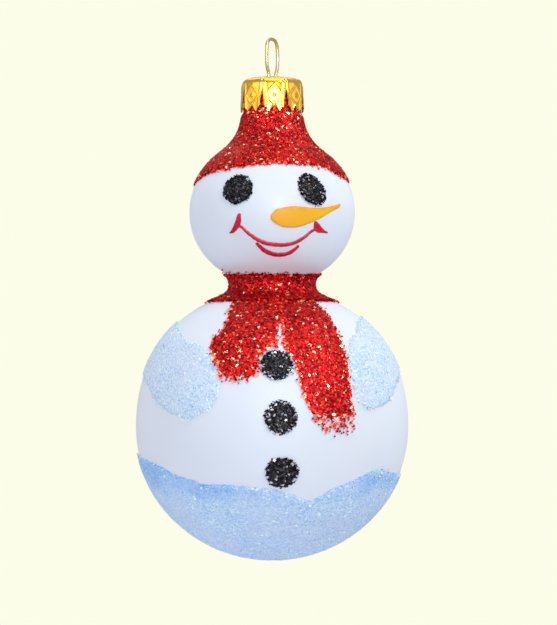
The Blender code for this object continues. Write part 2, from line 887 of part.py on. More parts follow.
CORNER_LEFT = [
    (-27.1, -25.8, -0.05),
    (-28.6, -25.8, -0.10),
    (-30, -26.1, -0.155),
    (-31.8, -27.8, -0.205),
    (-33.7, -30.3, -0.243),
    (-35.4, -33.3, -0.268),
]
CORNER_RIGHT = [
    (26.6, 27.8, -0.137),
    (26.5, 30.3, -0.172),
    (26.7, 33, -0.208),
    (27.6, 36, -0.237),
    (31.3, 39.3, -0.26),
]


def edges(rows):
    """Left and right edge curves from rows of (height, left azimuth, right azimuth)."""
    return [(left, z) for z, left, _ in rows], [(right, z) for z, _, right in rows]


# ---------------------------------------------------------------- build

for leftover in list(bpy.data.objects):
    bpy.data.objects.remove(leftover)

LACQUER = material("satin_white_lacquer", (0.86, 0.89, 0.92), 0.35)
GOLD = material("gold_sheet", (0.86, 0.66, 0.30), 0.28, 1.0)
WIRE = material("gold_wire", (0.62, 0.50, 0.28), 0.3, 1.0)
RED = material("red_glitter", (0.55, 0.03, 0.03), 0.5)
BLACK = material("black_glitter", (0.03, 0.03, 0.035), 0.45)
ICE = material("iridescent_glitter", (0.72, 0.84, 0.92), 0.4)
ORANGE = material("orange_enamel", (0.85, 0.30, 0.08), 0.35)
RED_PAINT = material("red_enamel", (0.70, 0.04, 0.03), 0.35)

inner = [
    (max(r - nr * GLASS_WALL, 0.0), z - nz * GLASS_WALL)
    for (r, z), (nr, nz) in zip(GLASS.points, GLASS.normals)
]
inner[-1] = (0.0, inner[-1][1])
thin = inner[:1] + inner[1:-1:2] + inner[-1:]
revolve("glass_body", list(reversed(GLASS.points)) + thin, LACQUER)

add_cap(GOLD)
tube(
    "hanger_wire",
    hanger_path(),
    WIRE_R,
    8,
    WIRE,
    (0, 0, (CAP_TOP - CAP_SHEET / 2) * MM),
)

band("hat_glitter", lambda az: CAP_FOOT - COAT_SPACE, HAT_RIM, COAT_FACET, COAT, RED)
band("scarf_collar", lambda az: COLLAR_TOP, lambda az: COLLAR_FOOT, COAT_FACET, COAT, RED)
bowl("snow_base", SNOW_EDGE, BAND_FACET, COAT, ICE)
patch("scarf_tail_short", *edges(SHORT_TAIL), COAT_FACET, COAT, RED)
patch("scarf_tail_long", *edges(LONG_TAIL), COAT_FACET, COAT, RED)
patch("mitten_left", *edges(MITTEN_LEFT), COAT_FACET, COAT, ICE)
patch("mitten_right", *edges(MITTEN_RIGHT), COAT_FACET, COAT, ICE)

for label, azimuth, (wide, tall, tilt) in zip(("left", "right"), (-28.7, 25.2), EYE_RATIOS):
    width, height = EYE_WIDTH * wide, EYE_WIDTH * tall
    dot(f"eye_{label}", azimuth, EYE_Z, width, height, tilt, ENAMEL, BLACK)
dot("button_top", -2, on_body(0.471), BUTTON_DIAMETER, BUTTON_DIAMETER, 0, ENAMEL, BLACK)
dot(
    "button_middle",
    -0.4,
    on_body(0.107),
    BUTTON_DIAMETER,
    BUTTON_DIAMETER * 1.05,
    0,
    ENAMEL,
    BLACK,
)
dot("button_bottom", 0.2, on_body(-0.279), BUTTON_DIAMETER, BUTTON_DIAMETER, 0, ENAMEL, BLACK)

patch(
    "nose",
    [(az, on_head(f)) for az, f, _ in NOSE_ALONG],
    [(az, on_head(f)) for az, _, f in NOSE_ALONG],
    COAT_FACET * 0.6,
    ENAMEL * 1.5,
    ORANGE,
)
stroke("mouth_smile", SMILE, 0.75, 16, ENAMEL, RED_PAINT)
stroke("mouth_lower_lip", LOWER_LIP, 0.95, 10, ENAMEL, RED_PAINT)
for label, rows in (("left", CORNER_LEFT), ("right", CORNER_RIGHT)):
    patch(
        f"mouth_corner_{label}",
        [(a, on_head(f)) for a, _, f in rows],
        [(b, on_head(f)) for _, b, f in rows],
        COAT_FACET * 0.3,
        ENAMEL,
        RED_PAINT,
    )
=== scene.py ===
"""Looks of the hanging blown-glass snowman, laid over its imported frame.

The glass is turned again from the CAD node's own profile, smoothly. Each coat's outline is read
from its CAD node, and the coat is laid again inside it as fine relief on the glass, with loose
flakes strewn over the glitter ones. The cap and the wire are made again with their fine detail.

Lengths are in millimetres until a mesh is made. Azimuths are degrees from the face's centre line,
positive towards +X. A run is a length along the glass's profile, from the neck's rim down.
"""

import copy
import math

import bmesh
import bpy
import numpy as np
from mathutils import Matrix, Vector


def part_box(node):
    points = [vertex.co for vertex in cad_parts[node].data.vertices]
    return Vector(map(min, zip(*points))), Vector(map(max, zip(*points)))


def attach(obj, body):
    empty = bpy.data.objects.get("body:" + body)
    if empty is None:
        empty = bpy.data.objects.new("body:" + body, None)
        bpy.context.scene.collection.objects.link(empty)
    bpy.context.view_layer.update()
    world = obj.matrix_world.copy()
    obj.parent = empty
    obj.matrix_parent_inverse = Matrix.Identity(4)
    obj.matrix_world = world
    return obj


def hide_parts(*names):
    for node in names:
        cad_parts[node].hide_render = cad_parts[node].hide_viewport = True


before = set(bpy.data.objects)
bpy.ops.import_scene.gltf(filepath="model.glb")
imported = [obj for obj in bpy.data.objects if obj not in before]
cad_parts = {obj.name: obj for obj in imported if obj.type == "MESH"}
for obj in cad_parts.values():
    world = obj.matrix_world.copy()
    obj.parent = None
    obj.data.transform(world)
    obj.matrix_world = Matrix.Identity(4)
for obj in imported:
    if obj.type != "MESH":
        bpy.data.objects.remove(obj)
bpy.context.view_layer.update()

MM = 0.001
FULL_TURN = 360.0
DEPTH_BATCH = 12000

# The camera, level and straight at the ornament
VIEW_TURN = -4.0
VIEW_DISTANCE = 550.0
VIEW_HEIGHT = -59.9
VIEW_RIGHT = 1.4
VIEW_LENS = 143.6

# The world, and the floor
WORLD_STRENGTH = 0.48
BACKDROP = (0.973, 0.982, 0.807)
FLOOR_SIDES = 96
FLOOR_RADIUS = 3400.0
FLOOR_HEIGHT = -600.0

# The lights: name, azimuth, elevation, distance, size, energy, colour, and the kind of ray that
# passes by it
LIGHTS = (
    ("front", 5, 9, 900, 230, 0.7, (0.92, 0.96, 1.0)),
    ("key", 40, 42, 900, 170, 2.7, (1.0, 0.98, 0.95)),
    ("glint", 3, 12, 900, 420, 6.5, (0.97, 1.0, 0.98), "diffuse"),
    ("side_left", -84, 8, 900, 560, 0.4, (1.0, 0.93, 0.72), "diffuse"),
    ("side_right", 78, 8, 900, 560, 0.62, (1.0, 0.93, 0.72), "diffuse"),
    ("fill", -55, 15, 1100, 900, 2.2, (0.93, 0.94, 1.0)),
    ("top", 10, 80, 900, 600, 1.8, (1.0, 0.99, 0.97)),
    ("crown", 180, 55, 900, 800, 1.2, (1.0, 0.95, 0.80), "diffuse"),
    ("under", 0, -34, 900, 500, 1.1, (0.80, 0.95, 1.0)),
    ("back_right", 125, 22, 1000, 500, 3.3, (1.0, 0.98, 0.92), "glossy"),
    ("back_left", -140, 20, 1000, 500, 2.2, (0.97, 0.98, 1.0), "glossy"),
)

# The glass
GLASS_COLUMNS = 144
GLASS_ROWS = 190
INNER_ROWS = 50
BURIED = 0.06

# The cap, whose radius and height come from its node
PETALS = 8
PETAL_HALF_ANGLE = 18.8
PETAL_COLUMNS = 34
TOOTH_DEPTH = 1.3
SLIT_START = 2.6
CAP_DOME = 0.65
CAP_SHOULDER = 1.5
CAP_FLARE = 0.4
SHEET = 0.2
FLATNESS = 0.3
EMBOSS = 0.17

# The hanger, whose height and wire come from its node
LOOP_TURN = 64.0
LOOP_HALF_WIDTH = 3.2
HOLE_SPAN = 2.0
HOLE_RADIUS = 0.6
LEG_SPREAD = 4.715
LEG_LENGTH = 12.5

# Coats
SKIN_SPLIT = 0.225
UNDER_CAP = 5.2
THIN_COAT = 0.1
KNOT_DROP = 4.4
KNOT_WIDTH = 3.6
COAT_MARGIN = 1.5
NARROWEST = 0.3
NUDGE = 0.05

# Flakes, and the spacing, size and tilt in degrees of each kind
# Size factor for each glitter's last shade, whose pale flakes are painted glints
SPARKLE = 1.7
FLAKE_SIDES = 6
FLAKE_MARGIN = 3
FLAKE_MARGIN_TURN = 12
HAT_FLAKES = (0.34, 0.52, 20)
TUCKED_FLAKES = (0.4, 0.36, 5)
SCARF_FLAKES = (0.33, 0.52, 21)
BLACK_FLAKES = (0.27, 0.42, 22)
SNOW_FLAKES = (0.62, 0.36, 14)
MITTEN_FLAKES = (0.6, 0.36, 14)

# Factors on the shares of the red shades, darkest first, for the collar: painted shade, more dark
# flakes and fewer light ones because the collar lies in shade
COLLAR_PAINTED_SHADE = (3.0, 1.4, 0.6, 0.5, 0.4, 0.5)


# ---------- reading the frame


def node_mesh(node):
    """Points in millimetres and triangles of a CAD node, points at one place made one."""
    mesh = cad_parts[node].data
    points = np.empty(len(mesh.vertices) * 3)
    mesh.vertices.foreach_get("co", points)
    points = points.reshape(-1, 3) / MM
    mesh.calc_loop_triangles()
    corners = np.empty(len(mesh.loop_triangles) * 3, np.int32)
    mesh.loop_triangles.foreach_get("vertices", corners)
    _, first, merged = np.unique(
        np.round(points, 4), axis=0, return_index=True, return_inverse=True
    )
    return points[first], merged.reshape(-1)[corners].reshape(-1, 3)


def edges_of(faces):
    """The edges of every face, each in its face's direction."""
    return np.stack([faces, np.roll(faces, -1, axis=1)], axis=2).reshape(-1, 2)


def open_edges(faces):
    """The edges that only one face uses."""
    edges = edges_of(faces)
    _, first, uses = np.unique(
        np.sort(edges, axis=1), axis=0, return_index=True, return_counts=True
    )
    return edges[first[uses == 1]]


def glass_outline():
    """(r, z) of the glass's outside from its rim to its lowest point, and its wall at the rim."""
    points, faces = node_mesh("glass_body")
    front = (abs(points[:, 0]) < 1e-3) & (points[:, 1] < 1e-3)
    edges = edges_of(faces)
    edges = edges[front[edges].all(axis=1)]
    beside = {}
    for a, b in edges.tolist():
        beside.setdefault(a, set()).add(b)
    here = int(np.argmin(points[:, 2]))
    walk = [here]
    while True:
        ahead = max(beside[here] - set(walk), key=lambda i: points[i, 2])
        if points[ahead, 2] < points[here, 2] + 1e-4:
            wall = points[ahead, 1] - points[here, 1]
            break
        walk.append(ahead)
        here = ahead
    outline = np.stack([-points[walk, 1], points[walk, 2]], axis=1)[::-1]
    return outline, wall


def curve_through(points, count):
    """Smooth curve through points of uneven spacing: count samples, and where each one is
    counted in spans."""
    points = np.asarray(points, float)
    step = np.linalg.norm(np.diff(points, axis=0), axis=1)
    slope = np.diff(points, axis=0) / step[:, None]
    lean = np.empty_like(points)
    lean[1:-1] = (slope[:-1] * step[1:, None] + slope[1:] * step[:-1, None]) / (
        step[1:] + step[:-1]
    )[:, None]
    lean[0], lean[-1] = slope[0] * 2 - lean[1], slope[-1] * 2 - lean[-2]
    t = np.linspace(0, len(step), count)
    i = np.minimum(t.astype(int), len(step) - 1)
    f = (t - i)[:, None]
    before = np.minimum(step, 2 * np.append(step[:1], step[:-1]))[i][:, None]
    after = np.minimum(step, 2 * np.append(step[1:], step[-1:]))[i][:, None]
    a, b, c, d = points[i], points[i + 1], lean[i] * before, lean[i + 1] * after
    found = a * (2 * f**3 - 3 * f**2 + 1) + b * (3 * f**2 - 2 * f**3)
    return found + c * (f**3 - 2 * f**2 + f) + d * (f**3 - f**2), t


class Glass:
    """The outside of the glass, read by length along its profile."""

    def __init__(self):
        self.outline, self.wall = glass_outline()
        line, self.spans = curve_through(self.outline, 1800)
        self.r, self.z = np.maximum(line[:, 0], 0.0), line[:, 1]
        self.run = np.concatenate([[0.0], np.cumsum(np.hypot(np.diff(self.r), np.diff(self.z)))])
        dr, dz = np.gradient(self.r), np.gradient(self.z)
        dr[-1], dz[-1] = -1.0, 0.0
        size = np.hypot(dr, dz)
        self.nr, self.nz = -dz / size, dr / size
        self.end = self.run[-1]

    def at(self, run):
        return [np.interp(run, self.run, v) for v in (self.r, self.z, self.nr, self.nz)]

    def run_at(self, z):
        return float(np.interp(-z, -self.z, self.run))

    def frames(self, azimuth, run):
        """Points on the glass with their normals, and the two directions along the glass."""
        r, z, nr, nz = self.at(run)
        a = np.radians(azimuth)
        s, c = np.sin(a), np.cos(a)
        place, normal = (r * s, -r * c, z), (nr * s, -nr * c, nz)
        across, down = (c, s, np.zeros_like(s)), (nz * s, -nz * c, -nr)
        return [np.stack(found, axis=-1) for found in (place, normal, across, down)]

    def place(self, azimuth, run, lift):
        azimuth, run, lift = np.broadcast_arrays(azimuth, run, lift)
        point, normal, _, _ = self.frames(azimuth, run)
        return point + normal * lift[..., None]

    def read(self, points):
        """(azimuth, run, lift) of points near the CAD glass, whose profile is straight spans."""
        azimuth = np.degrees(np.arctan2(points[:, 0], -points[:, 1]))
        flat = np.stack([np.hypot(points[:, 0], points[:, 1]), points[:, 2]], axis=1)
        a, b = self.outline[:-1], self.outline[1:]
        span = b - a
        f = ((flat[:, None] - a) * span).sum(2) / (span**2).sum(1)
        f = np.clip(f, 0, 1)
        gap = np.linalg.norm(flat[:, None] - a - f[..., None] * span, axis=2)
        nearest = gap.argmin(axis=1)
        rows = np.arange(len(points))
        spans = nearest + f[rows, nearest]
        return azimuth, np.interp(spans, self.spans, self.run), gap[rows, nearest]


GLASS = Glass()


def boundary_loops(faces):
    """Loops of vertex numbers round a sheet of triangles."""
    ahead = dict(open_edges(faces).tolist())
    loops = []
    while ahead:
        start = next(iter(ahead))
        loop, here = [start], ahead.pop(start)
        while here != start:
            loop.append(here)
            here = ahead.pop(here)
        loops.append(loop)
    return loops


class Region:
    """Where a coat lies on the glass: the outline of its CAD node, as loops of (azimuth, run)."""

    def __init__(self, node, steps=4):
        points, faces = node_mesh(node)
        azimuth, run, lift = GLASS.read(points)
        upper = lift > SKIN_SPLIT
        sheet = faces[upper[faces].all(axis=1)]
        loops = boundary_loops(sheet)
        first = self.unwrapped(azimuth[loops[0]])
        self.round = abs(first[-1] - first[0]) > FULL_TURN / 2
        middle = np.radians(azimuth[loops[0]])
        towards = math.atan2(np.sin(middle).mean(), np.cos(middle).mean())
        self.centre = 0.0 if self.round else math.degrees(towards)
        starts, ends = [], []
        for loop in loops:
            unwrapped = self.unwrapped(azimuth[loop])
            unwrapped += FULL_TURN * round((self.centre - unwrapped.mean()) / FULL_TURN)
            closed = np.stack([unwrapped, np.append(run[loop], run[loop[0]])], axis=1)
            line = self.smooth(closed, steps)
            for shift in (-FULL_TURN, 0.0, FULL_TURN) if self.round else (0.0,):
                starts.append(line[:-1] + (shift, 0.0))
                ends.append(line[1:] + (shift, 0.0))
        self.starts, self.ends = np.concatenate(starts), np.concatenate(ends)
        own = np.concatenate([azimuth[loop] for loop in loops])
        wrapped = self.wrapped(own)
        self.azimuths = (wrapped.min(), wrapped.max())
        runs = np.concatenate([run[loop] for loop in loops])
        self.top, self.bottom = runs.min(), runs.max()
        if self.round and len(loops) == 1:
            self.bottom = GLASS.end

    @staticmethod
    def unwrapped(azimuth):
        """A loop's azimuths back to its start, without jumps."""
        return np.degrees(np.unwrap(np.radians(np.append(azimuth, azimuth[0]))))

    @staticmethod
    def smooth(closed, steps):
        """The same closed line with its corners eased."""
        lead = closed[-3:-1] - (closed[-1] - closed[0])
        tail = closed[1:3] + (closed[-1] - closed[0])
        line = np.concatenate([lead, closed, tail])
        spans = len(line) - 1
        found, t = curve_through(line, spans * steps + 1)
        kept = (t > 2 - 1e-9) & (t < spans - 2 + 1e-9)
        return found[kept]

    def wrapped(self, azimuth):
        """The same azimuths within half a turn of the region's middle."""
        half = FULL_TURN / 2
        return (azimuth - self.centre + half) % FULL_TURN - half + self.centre

    def width_with(self, margin):
        """The region's outermost azimuths, this many degrees further out."""
        if self.round:
            return -FULL_TURN / 2, FULL_TURN / 2
        return self.azimuths[0] - margin, self.azimuths[1] + margin

    def depth(self, azimuth, run):
        """Millimetres inside the outline, negative outside it."""
        azimuth, run = np.broadcast_arrays(np.asarray(azimuth, float), np.asarray(run, float))
        shape = azimuth.shape
        azimuth, run = azimuth.ravel(), run.ravel()
        azimuth = self.wrapped(azimuth)
        scale = np.radians(np.maximum(GLASS.at(run)[0], NARROWEST))
        found = np.empty(len(azimuth))
        for first in range(0, len(azimuth), DEPTH_BATCH):
            part = slice(first, first + DEPTH_BATCH)
            az, at_run, wide = azimuth[part, None], run[part, None], scale[part, None]
            ax, bx = (self.starts[:, 0] - az) * wide, (self.ends[:, 0] - az) * wide
            ay, by = self.starts[:, 1] - at_run, self.ends[:, 1] - at_run
            dx, dy = bx - ax, by - ay
            f = np.clip(-(ax * dx + ay * dy) / np.maximum(dx * dx + dy * dy, 1e-12), 0, 1)
            near = np.sqrt(((ax + f * dx) ** 2 + (ay + f * dy) ** 2).min(axis=1))
            straddles = (ax <= 0) != (bx <= 0)
            with np.errstate(divide="ignore", invalid="ignore"):
                crossing = ay - ax * dy / dx
            above = (straddles & (crossing < 0)).sum(axis=1)
            found[part] = np.where(above % 2 == 1, near, -near)
        return found.reshape(shape)


# ---------- meshes


def add_mesh(name, points, faces, looks, smooth=False):
    """A mesh object of these materials, from points in millimetres."""
    mesh = bpy.data.meshes.new(name)
    mesh.from_pydata((np.asarray(points) * MM).tolist(), [], faces)
    for look in looks:
        mesh.materials.append(look)
    if smooth:
        mesh.shade_smooth()
    mesh.update()
    obj = bpy.data.objects.new(name, mesh)
    bpy.context.scene.collection.objects.link(obj)
    return obj


def ripple(azimuth, run, wave, seed):
    """Gentle unevenness between about -1 and 1, over the glass, with waves about this long."""
    rng = np.random.default_rng(seed)
    place = GLASS.place(azimuth, run, 0.0)
    total = 0.0
    for share in (1.0, 0.7, 0.5, 0.35):
        for _ in range(3):
            way = rng.normal(size=3)
            way *= 2 * math.pi / (wave * share * np.linalg.norm(way))
            total = total + share * np.sin(place @ way + rng.uniform(0, 2 * math.pi))
    return total / 3.6


def round_turn(count):
    """The angles of this many columns round an axis."""
    return np.radians(np.arange(count) * FULL_TURN / count)


def turned_glass(look):
    """The whole figure in one closed wall, from the outer pole to the inner one."""
    rows = np.linspace(0, GLASS.end, GLASS_ROWS)
    r, z, _, _ = GLASS.at(rows)
    outer = np.stack([r, z], axis=1)[::-1]
    rows = np.linspace(0, GLASS.end, INNER_ROWS)
    r, z, nr, nz = GLASS.at(rows)
    inner = np.stack([np.maximum(r - nr * GLASS.wall, 0), z - nz * GLASS.wall], axis=1)
    path = np.concatenate([outer, inner])
    path[0, 0] = path[-1, 0] = 0.0
    turn = round_turn(GLASS_COLUMNS)
    rings = path[1:-1]
    reach, high = rings[:, :1], rings[:, 1:]
    columns = np.broadcast_arrays(reach * np.sin(turn), -reach * np.cos(turn), high)
    points = np.stack(columns, axis=2).reshape(-1, 3)
    first, last = len(points), len(points) + 1
    points = np.concatenate([points, [[0, 0, path[0, 1]], [0, 0, path[-1, 1]]]])
    faces = []
    for i in range(GLASS_COLUMNS):
        k = (i + 1) % GLASS_COLUMNS
        end = (len(rings) - 1) * GLASS_COLUMNS
        faces.append((first, k, i))
        faces.append((end + i, end + k, last))
        for j in range(len(rings) - 1):
            a, b = j * GLASS_COLUMNS, (j + 1) * GLASS_COLUMNS
            faces.append((a + i, a + k, b + k, b + i))
    glass = add_mesh("glass", points, faces, [look], smooth=True)
    glass.data.set_sharp_from_angle(angle=math.radians(60))
    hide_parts("glass_body")
    return glass


def fill_pinches(cells, wrap):
    """Fills cells that meet only at a corner, so that the sheet's edge never touches itself."""
    while True:
        right = np.roll(cells, -1, axis=1)
        if not wrap:
            right[:, -1] = False
        a, b, c, d = cells[:-1], right[:-1], cells[1:], right[1:]
        pinched = (a & d & ~b & ~c) | (b & c & ~a & ~d)
        if not pinched.any():
            return cells
        for row, column in np.argwhere(pinched):
            cells[row : row + 2, column] = True
            cells[row : row + 2, (column + 1) % cells.shape[1]] = True


def finish_piece(piece, slot, *nodes):
    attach(piece, "figure")
    if nodes:
        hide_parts(*nodes)


def lay_coat(name, node, slot, region, cell, height, look, inside, grain=0.0, seed=0):
    """A closed sheet over the part of the glass where inside(azimuth, run) is above zero, its top
    lifted by height(depth inside, run) and roughened by grain. It stands for a CAD node."""
    rng = np.random.default_rng(seed)
    low = max(region.top - COAT_MARGIN, 0.0)
    high = min(region.bottom + COAT_MARGIN, GLASS.end)
    widest = GLASS.at(np.linspace(low, high, 60))[0].max()
    left, right = region.width_with(math.degrees(COAT_MARGIN / widest))
    columns = int(math.radians(right - left) * widest / cell)
    rows = int((high - low) / cell)
    azimuth = left + (right - left) * np.arange(columns + 1) / columns
    run = low + (high - low) * np.arange(rows + 1) / rows
    middle = inside(*np.meshgrid((azimuth[:-1] + azimuth[1:]) / 2, (run[:-1] + run[1:]) / 2))
    cells = fill_pinches(middle > 0, region.round)
    across = columns if region.round else columns + 1
    row, column = np.nonzero(cells)
    beside = (column + 1) % across if region.round else column + 1
    this, below = row * across, (row + 1) * across
    corners = np.stack([this + column, below + column, below + beside, this + beside], axis=1)
    used, compact = np.unique(corners, return_inverse=True)
    quads = compact.reshape(-1, 4)
    az, at_run = azimuth[used % across], run[used // across]

    rim = open_edges(quads)
    pole = at_run > GLASS.end - 1e-6
    rim = rim[~(pole[rim].all(axis=1))]
    edge = np.unique(rim)
    edge = edge[(at_run[edge] > low + 1e-6) & (at_run[edge] < high - 1e-6)]
    wide = np.radians(np.maximum(GLASS.at(at_run[edge])[0], NARROWEST))
    here = inside(az[edge], at_run[edge])
    gu = (inside(az[edge] + NUDGE / wide, at_run[edge]) - here) / NUDGE
    gv = (inside(az[edge], at_run[edge] + NUDGE) - here) / NUDGE
    size = np.maximum(gu * gu + gv * gv, 0.5)
    move = np.clip(here, -0.7 * cell, 0.7 * cell)
    az[edge] -= gu / size * move / wide
    at_run[edge] -= gv / size * move

    depth = np.maximum(inside(az, at_run), 0.0)
    lift = height(depth, at_run) + rng.normal(0, 1, len(az)).clip(-2, 2) * grain
    lift[pole] = lift[pole][:1].mean() if pole.any() else 0.0
    over = GLASS.place(az, at_run, np.maximum(lift, BURIED / 2))
    under = GLASS.place(az, at_run, -BURIED)
    count = len(over)
    faces = quads.tolist() + (quads[:, ::-1] + count).tolist()
    faces += [(b, a, a + count, b + count) for a, b in rim.tolist()]
    coat = add_mesh(name, np.concatenate([over, under]), faces, [look], smooth=not grain)
    if pole.any():
        tidy_pole(coat)
    finish_piece(coat, slot, node)


def tidy_pole(coat):
    """Draws the points that meet on the axis into one."""
    shape = bmesh.new()
    shape.from_mesh(coat.data)
    bmesh.ops.remove_doubles(shape, verts=shape.verts, dist=1e-7)
    shape.to_mesh(coat.data)
    shape.free()


def strew(name, slot, region, spacing, size, tilt, lift, shades, keep, seed):
    """Loose six-sided flakes over a region, one for each square of this spacing on average. keep
    gives the share that stays at each place, and shades are (material, share) pairs, of which the
    last is on larger flakes."""
    rng = np.random.default_rng(seed)
    low = max(region.top - FLAKE_MARGIN, 0.0)
    high = min(region.bottom + FLAKE_MARGIN, GLASS.end)
    rows = np.linspace(low, high, 400)
    weight = np.cumsum(GLASS.at(rows)[0] + 1e-6)
    left, right = region.width_with(FLAKE_MARGIN_TURN)
    area = GLASS.at(rows)[0].mean() * (high - low) * math.radians(right - left)
    count = int(area / spacing**2)
    run = np.interp(rng.uniform(weight[0], weight[-1], count), weight, rows)
    azimuth = rng.uniform(left, right, count)
    stays = rng.uniform(0, 1, count) < keep(azimuth, run, rng)
    azimuth, run = azimuth[stays], run[stays]
    count = len(run)
    place, normal, across, down = GLASS.frames(azimuth, run)
    lean = np.tan(np.radians(np.minimum(abs(rng.normal(0, tilt, count)), 3 * tilt)))
    turn = rng.uniform(0, 2 * math.pi, count)
    facing = normal + (lean * np.cos(turn))[:, None] * across
    facing = facing + (lean * np.sin(turn))[:, None] * down
    facing /= np.linalg.norm(facing, axis=1)[:, None]
    one = across - (across * facing).sum(1)[:, None] * facing
    one /= np.linalg.norm(one, axis=1)[:, None]
    other = np.cross(facing, one)
    shares = np.array([share for _, share in shades], float)
    picked = rng.choice(len(shades), count, p=shares / shares.sum()).astype(np.int32)
    reach = size / 2 * rng.uniform(0.75, 1.2, count)
    reach = reach * np.where(picked == len(shades) - 1, SPARKLE, 1)
    squeeze = rng.uniform(0.7, 1.0, count)
    raised = lift(azimuth, run) + rng.uniform(-0.05, 0.07, count)
    middle = place + normal * raised[:, None]
    start = rng.uniform(0, math.pi, count)
    corners = FLAKE_SIDES + 1
    points = np.empty((count, corners, 3))
    for k in range(FLAKE_SIDES):
        a = start + k * 2 * math.pi / FLAKE_SIDES
        points[:, k] = middle + (reach * np.cos(a))[:, None] * one
        points[:, k] += (reach * squeeze * np.sin(a))[:, None] * other
    points[:, FLAKE_SIDES] = place - normal * BURIED
    base = np.arange(count)[:, None] * corners
    faces = (base + np.arange(FLAKE_SIDES)).tolist()
    for k in range(FLAKE_SIDES):
        faces += (base + np.array([(k + 1) % FLAKE_SIDES, k, FLAKE_SIDES])).tolist()
    flakes = add_mesh(name, points.reshape(-1, 3), faces, [look for look, _ in shades])
    flakes.data.polygons.foreach_set("material_index", np.tile(picked, corners))
    finish_piece(flakes, slot)


# ---------- materials


def shader_of(name, colour, roughness, metallic=0.0, **sockets):
    """A material of constant values, and its node tree and shader."""
    made = bpy.data.materials.new(name)
    made.use_nodes = True
    tree = made.node_tree
    shader = tree.nodes["Principled BSDF"]
    sockets.update(Base_Color=(*colour, 1), Roughness=roughness, Metallic=metallic)
    for socket, value in sockets.items():
        shader.inputs[socket.replace("_", " ")].default_value = value
    return made, tree, shader


def spot(tree):
    """Positions on the object, in millimetres."""
    if "spot" in tree.nodes:
        return tree.nodes["spot"].outputs[0]
    coordinates = tree.nodes.new("ShaderNodeTexCoord")
    scaled = tree.nodes.new("ShaderNodeVectorMath")
    scaled.name = "spot"
    scaled.operation = "SCALE"
    scaled.inputs["Scale"].default_value = 1 / MM
    tree.links.new(coordinates.outputs["Object"], scaled.inputs[0])
    return scaled.outputs[0]


def spot_parts(tree):
    """The three lengths of a position."""
    split = tree.nodes.new("ShaderNodeSeparateXYZ")
    tree.links.new(spot(tree), split.inputs[0])
    return split.outputs


def noise(tree, wave, detail=2.0):
    made = tree.nodes.new("ShaderNodeTexNoise")
    made.inputs["Scale"].default_value = 1 / wave
    made.inputs["Detail"].default_value = detail
    tree.links.new(spot(tree), made.inputs["Vector"])
    return made.outputs["Fac"]


def grains(tree, wide):
    """Two random values for each grain of this width."""
    made = tree.nodes.new("ShaderNodeTexVoronoi")
    made.inputs["Scale"].default_value = 1 / wide
    tree.links.new(spot(tree), made.inputs["Vector"])
    split = tree.nodes.new("ShaderNodeSeparateColor")
    tree.links.new(made.outputs["Color"], split.inputs[0])
    return split.outputs[0], split.outputs[1]


def ramp(tree, factor, *stops):
    made = tree.nodes.new("ShaderNodeValToRGB")
    elements = made.color_ramp.elements
    while len(elements) < len(stops):
        elements.new(0.5)
    for element, (at, colour) in zip(elements, stops):
        element.position = at
        element.color = (*colour, 1)
    tree.links.new(factor, made.inputs[0])
    return made.outputs[0]


def blend(tree, factor, one, other, how="MIX"):
    made = tree.nodes.new("ShaderNodeMix")
    made.data_type = "RGBA"
    made.blend_type = how
    for number, value in ((0, factor), (6, one), (7, other)):
        socket = made.inputs[number]
        if isinstance(value, float):
            socket.default_value = value
        elif isinstance(value, tuple):
            socket.default_value = (*value, 1)
        else:
            tree.links.new(value, socket)
    return made.outputs[2]


def between(tree, value, from_low, from_high, to_low, to_high):
    made = tree.nodes.new("ShaderNodeMapRange")
    for socket, number in zip(made.inputs[1:5], (from_low, from_high, to_low, to_high)):
        socket.default_value = number
    tree.links.new(value, made.inputs[0])
    return made.outputs[0]


def relief(shader, height, depth):
    """Bumps this many millimetres deep."""
    tree = shader.id_data
    made = tree.nodes.new("ShaderNodeBump")
    made.inputs["Strength"].default_value = 1.0
    made.inputs["Distance"].default_value = depth * MM
    tree.links.new(height, made.inputs["Height"])
    tree.links.new(made.outputs[0], shader.inputs["Normal"])


def added(tree, *values):
    """The sum of two values."""
    made = tree.nodes.new("ShaderNodeMath")
    for value, socket in zip(values, made.inputs):
        tree.links.new(value, socket)
    return made.outputs[0]


def set_colour(shader, colour, *stops):
    """Takes the colour as it is, or as a factor between the colours of some stops."""
    tree = shader.id_data
    colour = ramp(tree, colour, *stops) if stops else colour
    tree.links.new(colour, shader.inputs["Base Color"])


def set_roughness(shader, value, smoothest, roughest, from_low=0.3, from_high=0.7):
    tree = shader.id_data
    uneven = between(tree, value, from_low, from_high, smoothest, roughest)
    tree.links.new(uneven, shader.inputs["Roughness"])


def white_lacquer():
    colour = (0.85, 0.89, 0.93)
    made, tree, shader = shader_of("white_lacquer", colour, 0.3, Specular_IOR_Level=0.2)
    cloud = noise(tree, 22.0, 1.0)
    set_colour(shader, cloud, (0.3, (0.765, 0.835, 0.95)), (0.7, (0.80, 0.85, 0.955)))
    set_roughness(shader, noise(tree, 3.0), 0.34, 0.46)
    relief(shader, noise(tree, 1.6), 0.005)
    return made


def gold_sheet():
    """Deep yellow metal under clear lacquer."""
    made, tree, shader = shader_of(
        "gold_sheet", (0.96, 0.53, 0.02), 0.24, 1.0,
        Coat_Weight=1.0, Coat_IOR=1.6, Coat_Roughness=0.12,
    )
    wear = noise(tree, 1.4, 3.0)
    set_colour(shader, wear, (0.3, (0.94, 0.48, 0.003)), (0.7, (0.97, 0.57, 0.010)))
    set_roughness(shader, noise(tree, 1.2), 0.18, 0.26)
    return made


def gold_wire():
    made, tree, shader = shader_of("gold_wire", (0.62, 0.48, 0.22), 0.3, 1.0)
    worn = noise(tree, 2.6, 1.0)
    set_colour(shader, worn, (0.38, (0.66, 0.48, 0.15)), (0.62, (0.50, 0.47, 0.38)))
    set_roughness(shader, worn, 0.42, 0.5)
    return made


